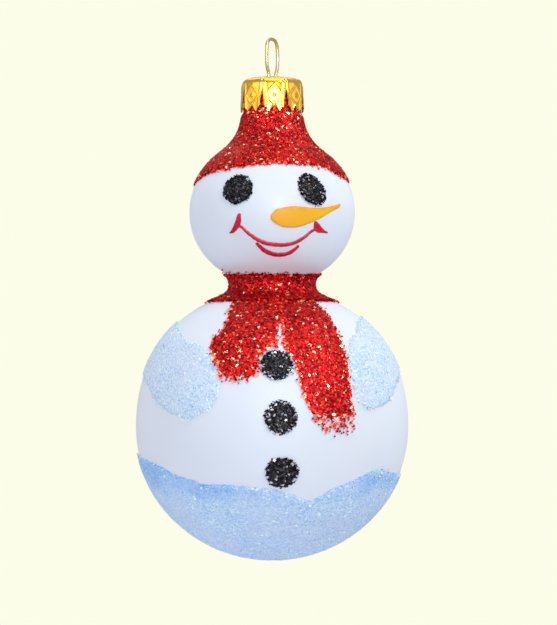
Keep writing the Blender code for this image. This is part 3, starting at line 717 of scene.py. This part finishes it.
def glitter_bed(name, dark, middle, light, grain):
    """What lies under the loose flakes: a packed layer of flakes in every shade."""
    made, tree, shader = shader_of(name, middle, 0.4, 0.8)
    shade, shine = grains(tree, grain)
    set_colour(shader, shade, (0.15, dark), (0.55, middle), (0.95, light))
    set_roughness(shader, shine, 0.28, 0.6, 0.0, 1.0)
    relief(shader, shine, 0.05)
    return made


def ice_bed(name, heights):
    """Fine pale blue glitter under clear glue, cloudy, with a tint that changes with height."""
    made, tree, shader = shader_of(name, (0.66, 0.77, 0.93), 0.4)
    shade, shine = grains(tree, 0.33)
    fine = ramp(
        tree, shade, (0.0, (0.38, 0.56, 0.88)), (0.3, (0.52, 0.72, 0.97)),
        (0.62, (0.62, 0.80, 1.0)), (0.92, (0.74, 0.90, 1.0)), (1.0, (0.92, 0.97, 1.0)),
    )
    cloud = noise(tree, 7.0, 3.0)
    colour = blend(tree, between(tree, cloud, 0.35, 0.65, 0.0, 0.5), fine, (0.74, 0.80, 0.98))
    if heights:
        uneven = between(tree, noise(tree, 9.0), 0.3, 0.7, -2.5, 2.5)
        share = between(tree, added(tree, spot_parts(tree)[2], uneven), *heights, 0.0, 1.0)
        tint = ramp(
            tree, share, (0.0, (0.72, 0.81, 0.96)), (0.3, (0.80, 0.85, 0.97)),
            (0.62, (0.84, 0.91, 1.0)), (0.85, (0.44, 0.69, 1.0)), (1.0, (0.80, 0.92, 1.0)),
        )
        colour = blend(tree, 1.0, colour, tint, "MULTIPLY")
    set_colour(shader, colour)
    set_roughness(shader, shine, 0.25, 0.55, 0.0, 1.0)
    relief(shader, shine, 0.03)
    return made


def enamel(name, dark, light, wave):
    made, tree, shader = shader_of(name, light, 0.3, Specular_IOR_Level=0.3)
    brushed = noise(tree, wave)
    set_colour(shader, brushed, (0.32, dark), (0.62, light))
    set_roughness(shader, noise(tree, 0.8), 0.22, 0.4)
    relief(shader, noise(tree, 0.5), 0.04)
    return made


def nose_enamel(low, high):
    """Orange paint, yellower towards the tip, with a redder upper edge."""
    colour = (0.93, 0.46, 0.05)
    made, tree, shader = shader_of("orange_enamel", colour, 0.45, Specular_IOR_Level=0.2)
    x, _, z = spot_parts(tree)
    along = between(tree, x, low.x, high.x, 0.0, 1.0)
    colour = ramp(
        tree, along,
        (0.0, (0.95, 0.43, 0.03)), (0.5, (0.95, 0.48, 0.02)), (0.85, (0.93, 0.55, 0.01)),
    )
    uneven = between(tree, noise(tree, 1.5), 0.3, 0.7, -0.4, 0.4)
    edge = between(tree, added(tree, z, uneven), high.z - 1.9, high.z - 0.9, 0.0, 0.55)
    set_colour(shader, blend(tree, edge, colour, (0.88, 0.27, 0.03)))
    relief(shader, noise(tree, 0.8), 0.02)
    return made


def flake_shades(name, edge, *shades):
    """Plain materials, one for each (colour, roughness, metallic, share); edge is the colour that
    the metal takes at a grazing angle."""
    tint, made = (*edge, 1), []
    for number, (colour, roughness, metallic, share) in enumerate(shades):
        look = shader_of(f"{name}_{number}", colour, roughness, metallic, Specular_Tint=tint)
        made.append((look[0], share))
    return made


# ---------- the cap and the wire


CAP_LOW, CAP_HIGH = (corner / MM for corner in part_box("ornament_cap"))
CAP_RADIUS = CAP_HIGH.x
CAP_TOP, CAP_FOOT = CAP_HIGH.z, CAP_LOW.z
LOOP_ALONG = np.array([math.cos(math.radians(LOOP_TURN)), math.sin(math.radians(LOOP_TURN)), 0.0])
LOOP_ACROSS = np.array([-LOOP_ALONG[1], LOOP_ALONG[0], 0.0])


def cap_section(rows):
    """(r, z, normal r, normal z) down the cap's outside, evenly spaced, and the share of the side
    that each has come down."""
    shoulder_r = CAP_RADIUS - CAP_FLARE - CAP_SHOULDER
    shoulder_z = CAP_TOP - CAP_DOME
    section = [(shoulder_r * f, CAP_TOP - CAP_DOME * f * f) for f in (0.0, 0.28, 0.55, 0.8)]
    for a in np.linspace(math.radians(12), math.pi / 2, 5):
        drop = CAP_SHOULDER * (1 - math.cos(a))
        section.append((shoulder_r + CAP_SHOULDER * math.sin(a), shoulder_z - drop + 0.02))
    side_top = shoulder_z - CAP_SHOULDER
    side = side_top - CAP_FOOT
    for f in (0.08, 0.3, 0.55, 0.78, 1.0):
        flare = CAP_FLARE * math.sin(f * math.pi / 2)
        section.append((CAP_RADIUS - CAP_FLARE + flare, side_top - side * f))
    line, _ = curve_through(section, 600)
    length = np.concatenate([[0], np.cumsum(np.linalg.norm(np.diff(line, axis=0), axis=1))])
    even = np.linspace(0, length[-1], rows)
    r, z = np.interp(even, length, line[:, 0]), np.interp(even, length, line[:, 1])
    dr, dz = np.gradient(r), np.gradient(z)
    size = np.hypot(dr, dz)
    return r, z, -dz / size, dr / size, (side_top - z) / side


def near_line(x, y, a, b):
    """Distance of points from a straight stroke from a to b."""
    dx, dy = b[0] - a[0], b[1] - a[1]
    f = np.clip(((x - a[0]) * dx + (y - a[1]) * dy) / (dx * dx + dy * dy), 0, 1)
    return np.hypot(x - a[0] - f * dx, y - a[1] - f * dy)


def stamped(u, v, half_width, side):
    """Height, from 0 to 1, of the pattern pressed into a petal: a rib along each edge, a diamond
    whose sides cross above the notch, and a dot. u runs across, v down the side."""
    x, y = abs(u) * half_width, v * side
    corner = half_width - 0.75
    ribs = np.exp(-(((half_width - 0.42 - x) / 0.24) ** 2)) * np.clip((v + 0.35) * 6, 0, 1)
    strokes = (
        ((0.0, 0.02), (corner, 0.40)), ((corner, 0.44), (0.0, 0.83)), ((0.0, 0.83), (0.9, 1.02))
    )
    away = [near_line(x, y, (a, b * side), (c, d * side)) for (a, b), (c, d) in strokes]
    lines = np.exp(-((np.min(away, axis=0) / 0.17) ** 2)) * 0.8
    dot = np.exp(-((np.hypot(x, y - 0.42 * side) / 0.3) ** 2))
    return np.maximum(np.maximum(ribs, lines), dot)


def stamped_cap(look):
    rows = 74
    r, z, nr, nz, down = cap_section(rows)
    side = (CAP_TOP - CAP_DOME - CAP_SHOULDER) - CAP_FOOT
    slit = int(np.argmax(CAP_TOP - z >= SLIT_START))
    pitch = FULL_TURN / PETALS
    u = np.linspace(-1, 1, PETAL_COLUMNS + 1)
    points, index = [], {}

    def ring(j, petal, skin):
        """Vertex numbers across one petal in row j of the outer or inner skin."""
        f = max(0.0, (j - slit) / (rows - 1 - slit))
        half = pitch / 2 - (pitch / 2 - PETAL_HALF_ANGLE) * min(1.0, f * 1.6)
        width = max(r[j] * math.radians(half), 0.5)
        pressed = stamped(u, np.full_like(u, down[j]), width, side) * EMBOSS
        pressed *= np.clip((r[j] - 3.2) / 1.5, 0, 1)
        flat = FLATNESS * (1 - u**2) * np.clip(down[j] * 1.5, 0, 1)
        tooth = TOOTH_DEPTH * abs(2 * abs(u) - 1) * f**3
        depth = SHEET * skin - pressed + flat
        made = []
        for i in range(PETAL_COLUMNS + 1):
            shared = f == 0.0 and i == PETAL_COLUMNS
            key = (j, (petal + shared) % PETALS, 0 if shared else i, skin)
            if j == 0:
                key = (0, 0, 0, skin)
            if key not in index:
                index[key] = len(points)
                a = math.radians(pitch * petal + half * u[i])
                reach, high = r[j] - nr[j] * depth[i], z[j] - nz[j] * depth[i] + tooth[i]
                points.append((reach * math.sin(a), -reach * math.cos(a), high))
            made.append(index[key])
        return made

    faces = []
    for petal in range(PETALS):
        for skin in (0, 1):
            lines = [ring(j, petal, skin) for j in range(rows)]
            for j in range(rows - 1):
                for i in range(PETAL_COLUMNS):
                    face = (lines[j][i], lines[j + 1][i], lines[j + 1][i + 1], lines[j][i + 1])
                    face = tuple(dict.fromkeys(face))
                    faces.append(face[::-1] if skin else face)
        outer, inner = ([ring(j, petal, skin) for j in range(slit, rows)] for skin in (0, 1))
        for i, flip in ((0, False), (PETAL_COLUMNS, True)):
            for j in range(len(outer) - 1):
                face = (outer[j][i], inner[j][i], inner[j + 1][i], outer[j + 1][i])
                faces.append(face[::-1] if flip else face)
        for i in range(PETAL_COLUMNS):
            faces.append((outer[-1][i], inner[-1][i], inner[-1][i + 1], outer[-1][i + 1]))
    cap = add_mesh("cap", points, faces, [look], smooth=True)
    cut_holes(cap)
    cap.data.set_sharp_from_angle(angle=math.radians(50))
    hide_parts("ornament_cap")
    return cap


def cut_holes(cap):
    """Two round holes for the wire."""
    for side in (-1, 1):
        x, y, _ = side * HOLE_SPAN * LOOP_ALONG * MM
        bpy.ops.mesh.primitive_cylinder_add(
            vertices=40, radius=HOLE_RADIUS * MM, depth=4 * MM, location=(x, y, CAP_TOP * MM)
        )
        cutter = bpy.context.active_object
        cut = cap.modifiers.new("hole", "BOOLEAN")
        cut.operation, cut.solver, cut.object = "DIFFERENCE", "EXACT", cutter
        bpy.context.view_layer.update()
        evaluated = cap.evaluated_get(bpy.context.evaluated_depsgraph_get())
        holed = bpy.data.meshes.new_from_object(evaluated)
        cap.modifiers.clear()
        cap.data = holed
        bpy.data.objects.remove(cutter)


def bent_wire(look):
    """One length of wire: a leg, the loop above the cap and the other leg."""
    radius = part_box("hanger_wire")[1].z / MM / 2
    rise, width = -CAP_TOP, LOOP_HALF_WIDTH
    hole = CAP_TOP - 0.15
    leg = ((0.9, 1.0), (1.0, 0.8), (0.97, 0.58), (0.78, 0.34))
    side = [(LEG_SPREAD * out, hole - LEG_LENGTH * down) for out, down in leg] + [
        (HOLE_SPAN * 1.06, hole - LEG_LENGTH * 0.12),
        (HOLE_SPAN, hole),
        (HOLE_SPAN * 1.05, hole + rise * 0.1),
        (width * 0.9, hole + rise * 0.26),
        (width, hole + rise * 0.47),
        (width * 0.985, hole + rise * 0.7),
        (width * 0.82, radius - rise * 0.11),
        (width * 0.45, radius - rise * 0.018),
    ]
    flat = np.array(side + [(0.0, radius)] + [(-u, z) for u, z in reversed(side)])
    line, _ = curve_through(flat, 220)
    path = line[:, :1] * LOOP_ALONG + line[:, 1:] * np.array([0, 0, 1.0])
    along = np.gradient(path, axis=0)
    along /= np.linalg.norm(along, axis=1)[:, None]
    across = np.broadcast_to(LOOP_ACROSS, path.shape)
    other = np.cross(along, across)
    sides = 18
    turn = round_turn(sides)
    points = path[:, None] + radius * (
        np.cos(turn)[:, None] * across[:, None] + np.sin(turn)[:, None] * other[:, None]
    )
    faces = [tuple(range(sides))[::-1], tuple(range((len(path) - 1) * sides, len(path) * sides))]
    for j in range(len(path) - 1):
        for i in range(sides):
            k = (i + 1) % sides
            faces.append((j * sides + i, j * sides + k, (j + 1) * sides + k, (j + 1) * sides + i))
    wire = add_mesh("wire", points.reshape(-1, 3), faces, [look], smooth=True)
    wire.data.set_sharp_from_angle(angle=math.radians(60))
    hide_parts("hanger_wire")
    return wire


# ---------- coats


def domed(thickness, edge, crown=0.0):
    """Height over the glass: full past the edge's width, with an optional further rise."""

    def height(depth, _):
        f = np.clip(depth / edge, 0, 1)
        return 0.03 + thickness * np.sqrt(1 - (1 - f) ** 2) + crown * np.clip(depth / 3.5, 0, 1)

    return height


def ragged(region, inset, wave, size, seed, depth_in=Region.depth):
    """The region drawn in by inset, its edge uneven by size."""

    def inside(azimuth, run):
        return depth_in(region, azimuth, run) - inset + size * ripple(azimuth, run, wave, seed)

    return inside


def scatter(region, spill, inset=0.0, fray=0.0, depth_in=Region.depth):
    """Share of flakes that stays at a place: all inside, fewer and fewer past the edge, and
    fewer towards the lower end of a frayed coat."""

    def keep(azimuth, run, rng):
        depth = depth_in(region, azimuth, run) - inset
        found = np.where(depth > 0, 1.0, 0.6 * np.exp(np.minimum(depth, 0) / spill))
        if fray:
            left = (region.bottom - run) / fray
            found = found * np.clip(0.10 + 0.9 * left, 0.05, 1)
        return found

    return keep


def even_lift(height):
    """The same height for flakes all over a coat."""
    return lambda azimuth, run: np.full_like(run, height)


def red_coats():
    slot = "red_glitter"
    packed = (0.12, 0.0, 0.003), (0.45, 0.004, 0.008), (0.80, 0.02, 0.015)
    bed = glitter_bed("red_bed", *packed, 0.42)
    shades = flake_shades(
        "red_flake", (0.9, 0.2, 0.2),
        ((0.22, 0.0, 0.006), 0.38, 0.9, 0.14),
        ((0.66, 0.004, 0.010), 0.34, 0.9, 0.22),
        ((1.0, 0.014, 0.012), 0.30, 0.9, 0.32),
        ((1.0, 0.09, 0.04), 0.28, 0.7, 0.17),
        ((1.0, 0.32, 0.14), 0.28, 0.6, 0.11),
        # The last, palest shade, on larger flakes, is a painted glint: cream flakes standing for
        # the white sparkles of light on red glitter, though they also reflect the lamps
        ((1.0, 0.80, 0.54), 0.32, 0.75, 0.038),
    )
    # The collar's mix of red flakes, darkened as painted shade
    collar_shaded_mix = [(look, share * less) for (look, share), less in zip(shades, COLLAR_PAINTED_SHADE)]
    hat = Region("hat_glitter")
    cap_line = GLASS.run_at(CAP_FOOT)
    upper = GLASS.run_at(CAP_FOOT + UNDER_CAP)

    def hat_depth(hat, azimuth, run):
        """The hat goes on up under the cap, so its upper edge is out of sight."""
        below = hat.depth(azimuth, np.maximum(run, hat.top + 4.0))
        return np.minimum(below, run - upper)

    def piled(run):
        """The coat is thicker where it gathers on the neck."""
        return 0.24 * np.clip(1 - (run - cap_line) / 5.0, 0, 1)

    def hat_height(depth, run):
        full = domed(0.34, 0.6)(depth, run) + piled(run)
        fits = np.clip((run - cap_line) / 1.2, 0, 1)
        return np.minimum(full, THIN_COAT + (full - THIN_COAT) * fits)

    hat_span = copy.copy(hat)
    hat_span.top = upper
    lay_coat(
        "hat_bed", "hat_glitter", slot, hat_span, 0.34, hat_height, bed,
        ragged(hat, 0.25, 2.2, 0.2, 11, hat_depth), 0.05, 21,
    )
    loose = scatter(hat, 0.22, depth_in=hat_depth)

    def hat_keep(azimuth, run, rng):
        return np.where(run < cap_line + 0.3, 0.0, loose(azimuth, run, rng))

    def hat_lift(azimuth, run):
        return 0.30 + piled(run) - 0.40 * np.clip(1 - (run - cap_line) / 1.2, 0, 1)

    strew("hat_flakes", slot, hat, *HAT_FLAKES, hat_lift, shades, hat_keep, 31)

    def tucked_keep(azimuth, run, rng):
        return ((run > upper + 0.3) & (run <= cap_line + 0.3)) * 1.0

    strew(
        "hat_flakes_under_cap", slot, hat_span, *TUCKED_FLAKES, even_lift(0.09), shades,
        tucked_keep, 32,
    )

    collar = Region("scarf_collar")
    lay_coat(
        "collar_bed", "scarf_collar", slot, collar, 0.34, domed(0.42, 0.7), bed,
        ragged(collar, 0.2, 2.2, 0.2, 12), 0.06, 22,
    )
    near = scatter(collar, 0.3)
    # The collar's flakes take the darkened mix: painted shade
    strew("collar_flakes", slot, collar, *SCARF_FLAKES, even_lift(0.40), collar_shaded_mix, near, 33)

    slit = GLASS.run_at(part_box("scarf_collar")[0].z / MM - KNOT_DROP)

    def knotted(tail, azimuth, run):
        """Depth in a tail, the short one widened over the gap beside it down to the slit."""
        found = tail.depth(azimuth, run)
        if tail.azimuths[1] > 0.5:
            return found
        over = np.minimum(slit - run, run - tail.top)
        wide = np.radians(GLASS.at(run)[0]) * (KNOT_WIDTH - abs(azimuth - 0.8))
        return np.maximum(found, np.minimum(over, wide))

    for number, (node, fray) in enumerate((("scarf_tail_short", 3.6), ("scarf_tail_long", 8.0))):
        tail = Region(node)
        short = node.replace("scarf_", "")
        edge = ragged(tail, 0.3, 2.0, 0.25, 13 + number, knotted)

        def inside(azimuth, run, tail=tail, edge=edge, fray=fray):
            worn = tail.bottom - run - fray * 0.5
            return np.minimum(edge(azimuth, run), worn + 0.8 * ripple(azimuth, run, 1.8, 17))

        lay_coat(
            f"{short}_bed", node, slot, tail, 0.32, domed(0.36, 0.7), bed,
            inside, 0.06, 23 + number,
        )
        strew(
            f"{short}_flakes", slot, tail, *SCARF_FLAKES, even_lift(0.32), shades,
            scatter(tail, 0.27, fray=fray, depth_in=knotted), 34 + number,
        )


def black_dots():
    slot = "black_glitter"
    packed = (0.002, 0.002, 0.003), (0.010, 0.010, 0.013), (0.06, 0.055, 0.06)
    bed = glitter_bed("black_bed", *packed, 0.34)
    shades = flake_shades(
        "black_flake", (0.35, 0.35, 0.38),
        ((0.004, 0.004, 0.007), 0.35, 0.9, 0.50),
        ((0.014, 0.014, 0.022), 0.30, 0.9, 0.20),
        ((0.07, 0.045, 0.035), 0.28, 0.9, 0.14),
        ((0.08, 0.11, 0.22), 0.24, 0.6, 0.09),
        # The last, pale grey shade, on larger flakes, is a painted glint standing for silver
        # sparkles of light on black glitter; the flakes also reflect the lamps
        ((0.55, 0.56, 0.64), 0.30, 0.2, 0.055),
    )
    # The eyes get fewer of these painted glints
    eye_shades_fewer_glints = shades[:-1] + [(shades[-1][0], 0.02)]
    nodes = ["eye_left", "eye_right", "button_top", "button_middle", "button_bottom"]
    crown = domed(0.36, 0.9, 0.18)
    for number, node in enumerate(nodes):
        dot = Region(node)
        lay_coat(
            f"{node}_bed", node, slot, dot, 0.26, domed(0.42, 0.9, 0.18), bed,
            ragged(dot, 0.3, 1.3, 0.14, 41 + number), 0.05, 51 + number,
        )
        strew(
            f"{node}_flakes", slot, dot, *BLACK_FLAKES,
            lambda azimuth, run, dot=dot: crown(dot.depth(azimuth, run), run),
            eye_shades_fewer_glints if node.startswith("eye") else shades,
            scatter(dot, 0.11, inset=0.15), 161 + number,
        )


def ice_coats():
    slot = "iridescent_glitter"
    snow = Region("snow_base")
    shades = flake_shades(
        "ice_flake", (1.0, 1.0, 1.0),
        ((0.60, 0.78, 0.96), 0.30, 0.25, 0.34),
        ((0.80, 0.92, 1.0), 0.25, 0.3, 0.34),
        ((0.84, 0.86, 0.98), 0.25, 0.2, 0.10),
        ((0.66, 1.0, 0.97), 0.22, 0.5, 0.12),
        ((0.22, 0.30, 0.55), 0.35, 0.5, 0.03),
        # The last, white shade, on larger flakes and bright from any side, is a painted glint
        # standing for the sparkles of light on the glitter
        ((0.88, 1.0, 1.0), 0.25, 0.0, 0.06),
    )
    snow_look = ice_bed("snow_bed", (GLASS.z[-1], GLASS.at(snow.top)[1]))
    mitten_look = ice_bed("mitten_bed", None)
    lay_coat(
        "snow_bed", "snow_base", slot, snow, 0.45, domed(0.40, 1.1), snow_look,
        ragged(snow, 0.1, 3.0, 0.2, 71), 0.035, 72,
    )
    near = scatter(snow, 0.2)
    strew("snow_flakes", slot, snow, *SNOW_FLAKES, even_lift(0.40), shades, near, 73)
    for number, node in enumerate(("mitten_left", "mitten_right")):
        mitten = Region(node)
        lay_coat(
            f"{node}_bed", node, slot, mitten, 0.36, domed(0.40, 1.3), mitten_look,
            ragged(mitten, 0.1, 2.6, 0.2, 74 + number), 0.035, 76 + number,
        )
        strew(
            f"{node}_flakes", slot, mitten, *MITTEN_FLAKES, even_lift(0.38), shades,
            scatter(mitten, 0.2), 78 + number,
        )


def run_between(one, other):
    """The shortest line over the glass between the outlines of two regions."""
    a, b = one.starts, other.starts
    wide = np.radians(GLASS.at(a[:, 1])[0])[:, None]
    gap = np.hypot((a[:, None, 0] - b[:, 0]) * wide, a[:, None, 1] - b[:, 1])
    i, j = np.unravel_index(gap.argmin(), gap.shape)
    return a[i], b[j]


def joined_up(inside, joins, half_width):
    """The same shape with a stroke laid along each join."""

    def wider(azimuth, run):
        found = inside(azimuth, run)
        for (az0, run0), (az1, run1) in joins:
            wide = math.radians(1) * float(GLASS.at(run0)[0])
            away = near_line(azimuth * wide, run, (az0 * wide, run0), (az1 * wide, run1))
            found = np.maximum(found, half_width - away)
        return found

    return wider


def painted_face():
    nose = Region("nose")
    low, high = (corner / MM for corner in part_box("nose"))
    lay_coat(
        "nose_paint", "nose", "orange_enamel", nose, 0.16, domed(0.32, 0.8),
        nose_enamel(low, high), ragged(nose, -0.12, 1.6, 0.06, 81),
    )
    red = enamel("red_enamel", (0.42, 0.001, 0.018), (0.64, 0.008, 0.044), 0.9)
    names = ["mouth_smile", "mouth_lower_lip", "mouth_corner_left", "mouth_corner_right"]
    strokes = {node: Region(node) for node in names}
    smile = strokes["mouth_smile"]
    joins = [run_between(smile, strokes[node]) for node in names[2:]]
    for number, (node, stroke) in enumerate(strokes.items()):
        inside = ragged(stroke, -0.12, 1.2, 0.05, 82 + number)
        if stroke is smile:
            inside = joined_up(inside, joins, 0.32)
        lay_coat(
            f"{node}_paint", node, "red_enamel", stroke, 0.12, domed(0.20, 0.35), red, inside
        )


# ---------- stage


MIDDLE = np.array([0, 0, VIEW_HEIGHT])


def facing_axis(azimuth, elevation, distance):
    """A place seen from the ornament's middle in this direction, in metres."""
    a, e = math.radians(azimuth), math.radians(elevation)
    way = np.array([math.sin(a) * math.cos(e), -math.cos(a) * math.cos(e), math.sin(e)])
    return (MIDDLE + way * distance) * MM


def aim(obj, target):
    way = np.asarray(target) - np.asarray(obj.location)
    obj.rotation_euler = Vector(way).to_track_quat("-Z", "Y").to_euler()


def add_light(name, azimuth, elevation, distance, size, energy, colour, hidden=""):
    """A round panel that faces the ornament, hidden from one kind of ray."""
    lamp = bpy.data.lights.new(name, "AREA")
    lamp.shape, lamp.size = "DISK", size * MM
    lamp.energy, lamp.color = energy, colour
    obj = bpy.data.objects.new(name, lamp)
    obj.location = facing_axis(azimuth, elevation, distance)
    bpy.context.scene.collection.objects.link(obj)
    aim(obj, MIDDLE * MM)
    obj.visible_glossy = hidden != "glossy"
    obj.visible_diffuse = hidden != "diffuse"


def add_camera():
    camera = bpy.data.objects.new("camera", bpy.data.cameras.new("camera"))
    camera.data.lens = VIEW_LENS
    camera.data.clip_start, camera.data.clip_end = 0.01, 50
    turn = math.radians(VIEW_TURN)
    right = np.array([math.cos(turn), math.sin(turn), 0.0]) * VIEW_RIGHT
    away = np.array([math.sin(turn), -math.cos(turn), 0.0]) * VIEW_DISTANCE
    bpy.context.scene.collection.objects.link(camera)
    camera.location = (right + away + MIDDLE) * MM
    aim(camera, (right + MIDDLE) * MM)
    bpy.context.scene.camera = camera


def add_stage():
    scene = bpy.context.scene
    world = bpy.data.worlds.new("studio")
    scene.world = world
    world.use_nodes = True
    tree = world.node_tree
    lit, seen = tree.nodes["Background"], tree.nodes.new("ShaderNodeBackground")
    lit.inputs[0].default_value = (0.98, 0.98, 1.0, 1)
    lit.inputs[1].default_value = WORLD_STRENGTH
    seen.inputs[0].default_value = (*BACKDROP, 1)
    rays = tree.nodes.new("ShaderNodeLightPath")
    either = tree.nodes.new("ShaderNodeMixShader")
    made = (rays.outputs["Is Camera Ray"], lit.outputs[0], seen.outputs[0])
    for output, socket in zip(made, either.inputs):
        tree.links.new(output, socket)
    tree.links.new(either.outputs[0], tree.nodes["World Output"].inputs[0])

    look, tree, shader = shader_of("pale_floor", (0.88, 0.89, 0.92), 0.7)
    tone = noise(tree, 400.0)
    set_colour(shader, tone, (0.3, (0.87, 0.88, 0.91)), (0.7, (0.89, 0.90, 0.94)))
    turn = round_turn(FLOOR_SIDES)
    flat = np.full(FLOOR_SIDES, FLOOR_HEIGHT)
    points = np.stack([FLOOR_RADIUS * np.cos(turn), FLOOR_RADIUS * np.sin(turn), flat], axis=1)
    add_mesh("floor", points, [tuple(range(FLOOR_SIDES))], [look])
    for light in LIGHTS:
        add_light(*light)
    scene.view_settings.view_transform = "Standard"


# ---------- build

add_camera()
add_stage()
glass = turned_glass(white_lacquer())
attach(glass, "figure")
cap = stamped_cap(gold_sheet())
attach(cap, "cap")
wire = bent_wire(gold_wire())
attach(wire, "hanger")
red_coats()
black_dots()
ice_coats()
painted_face()
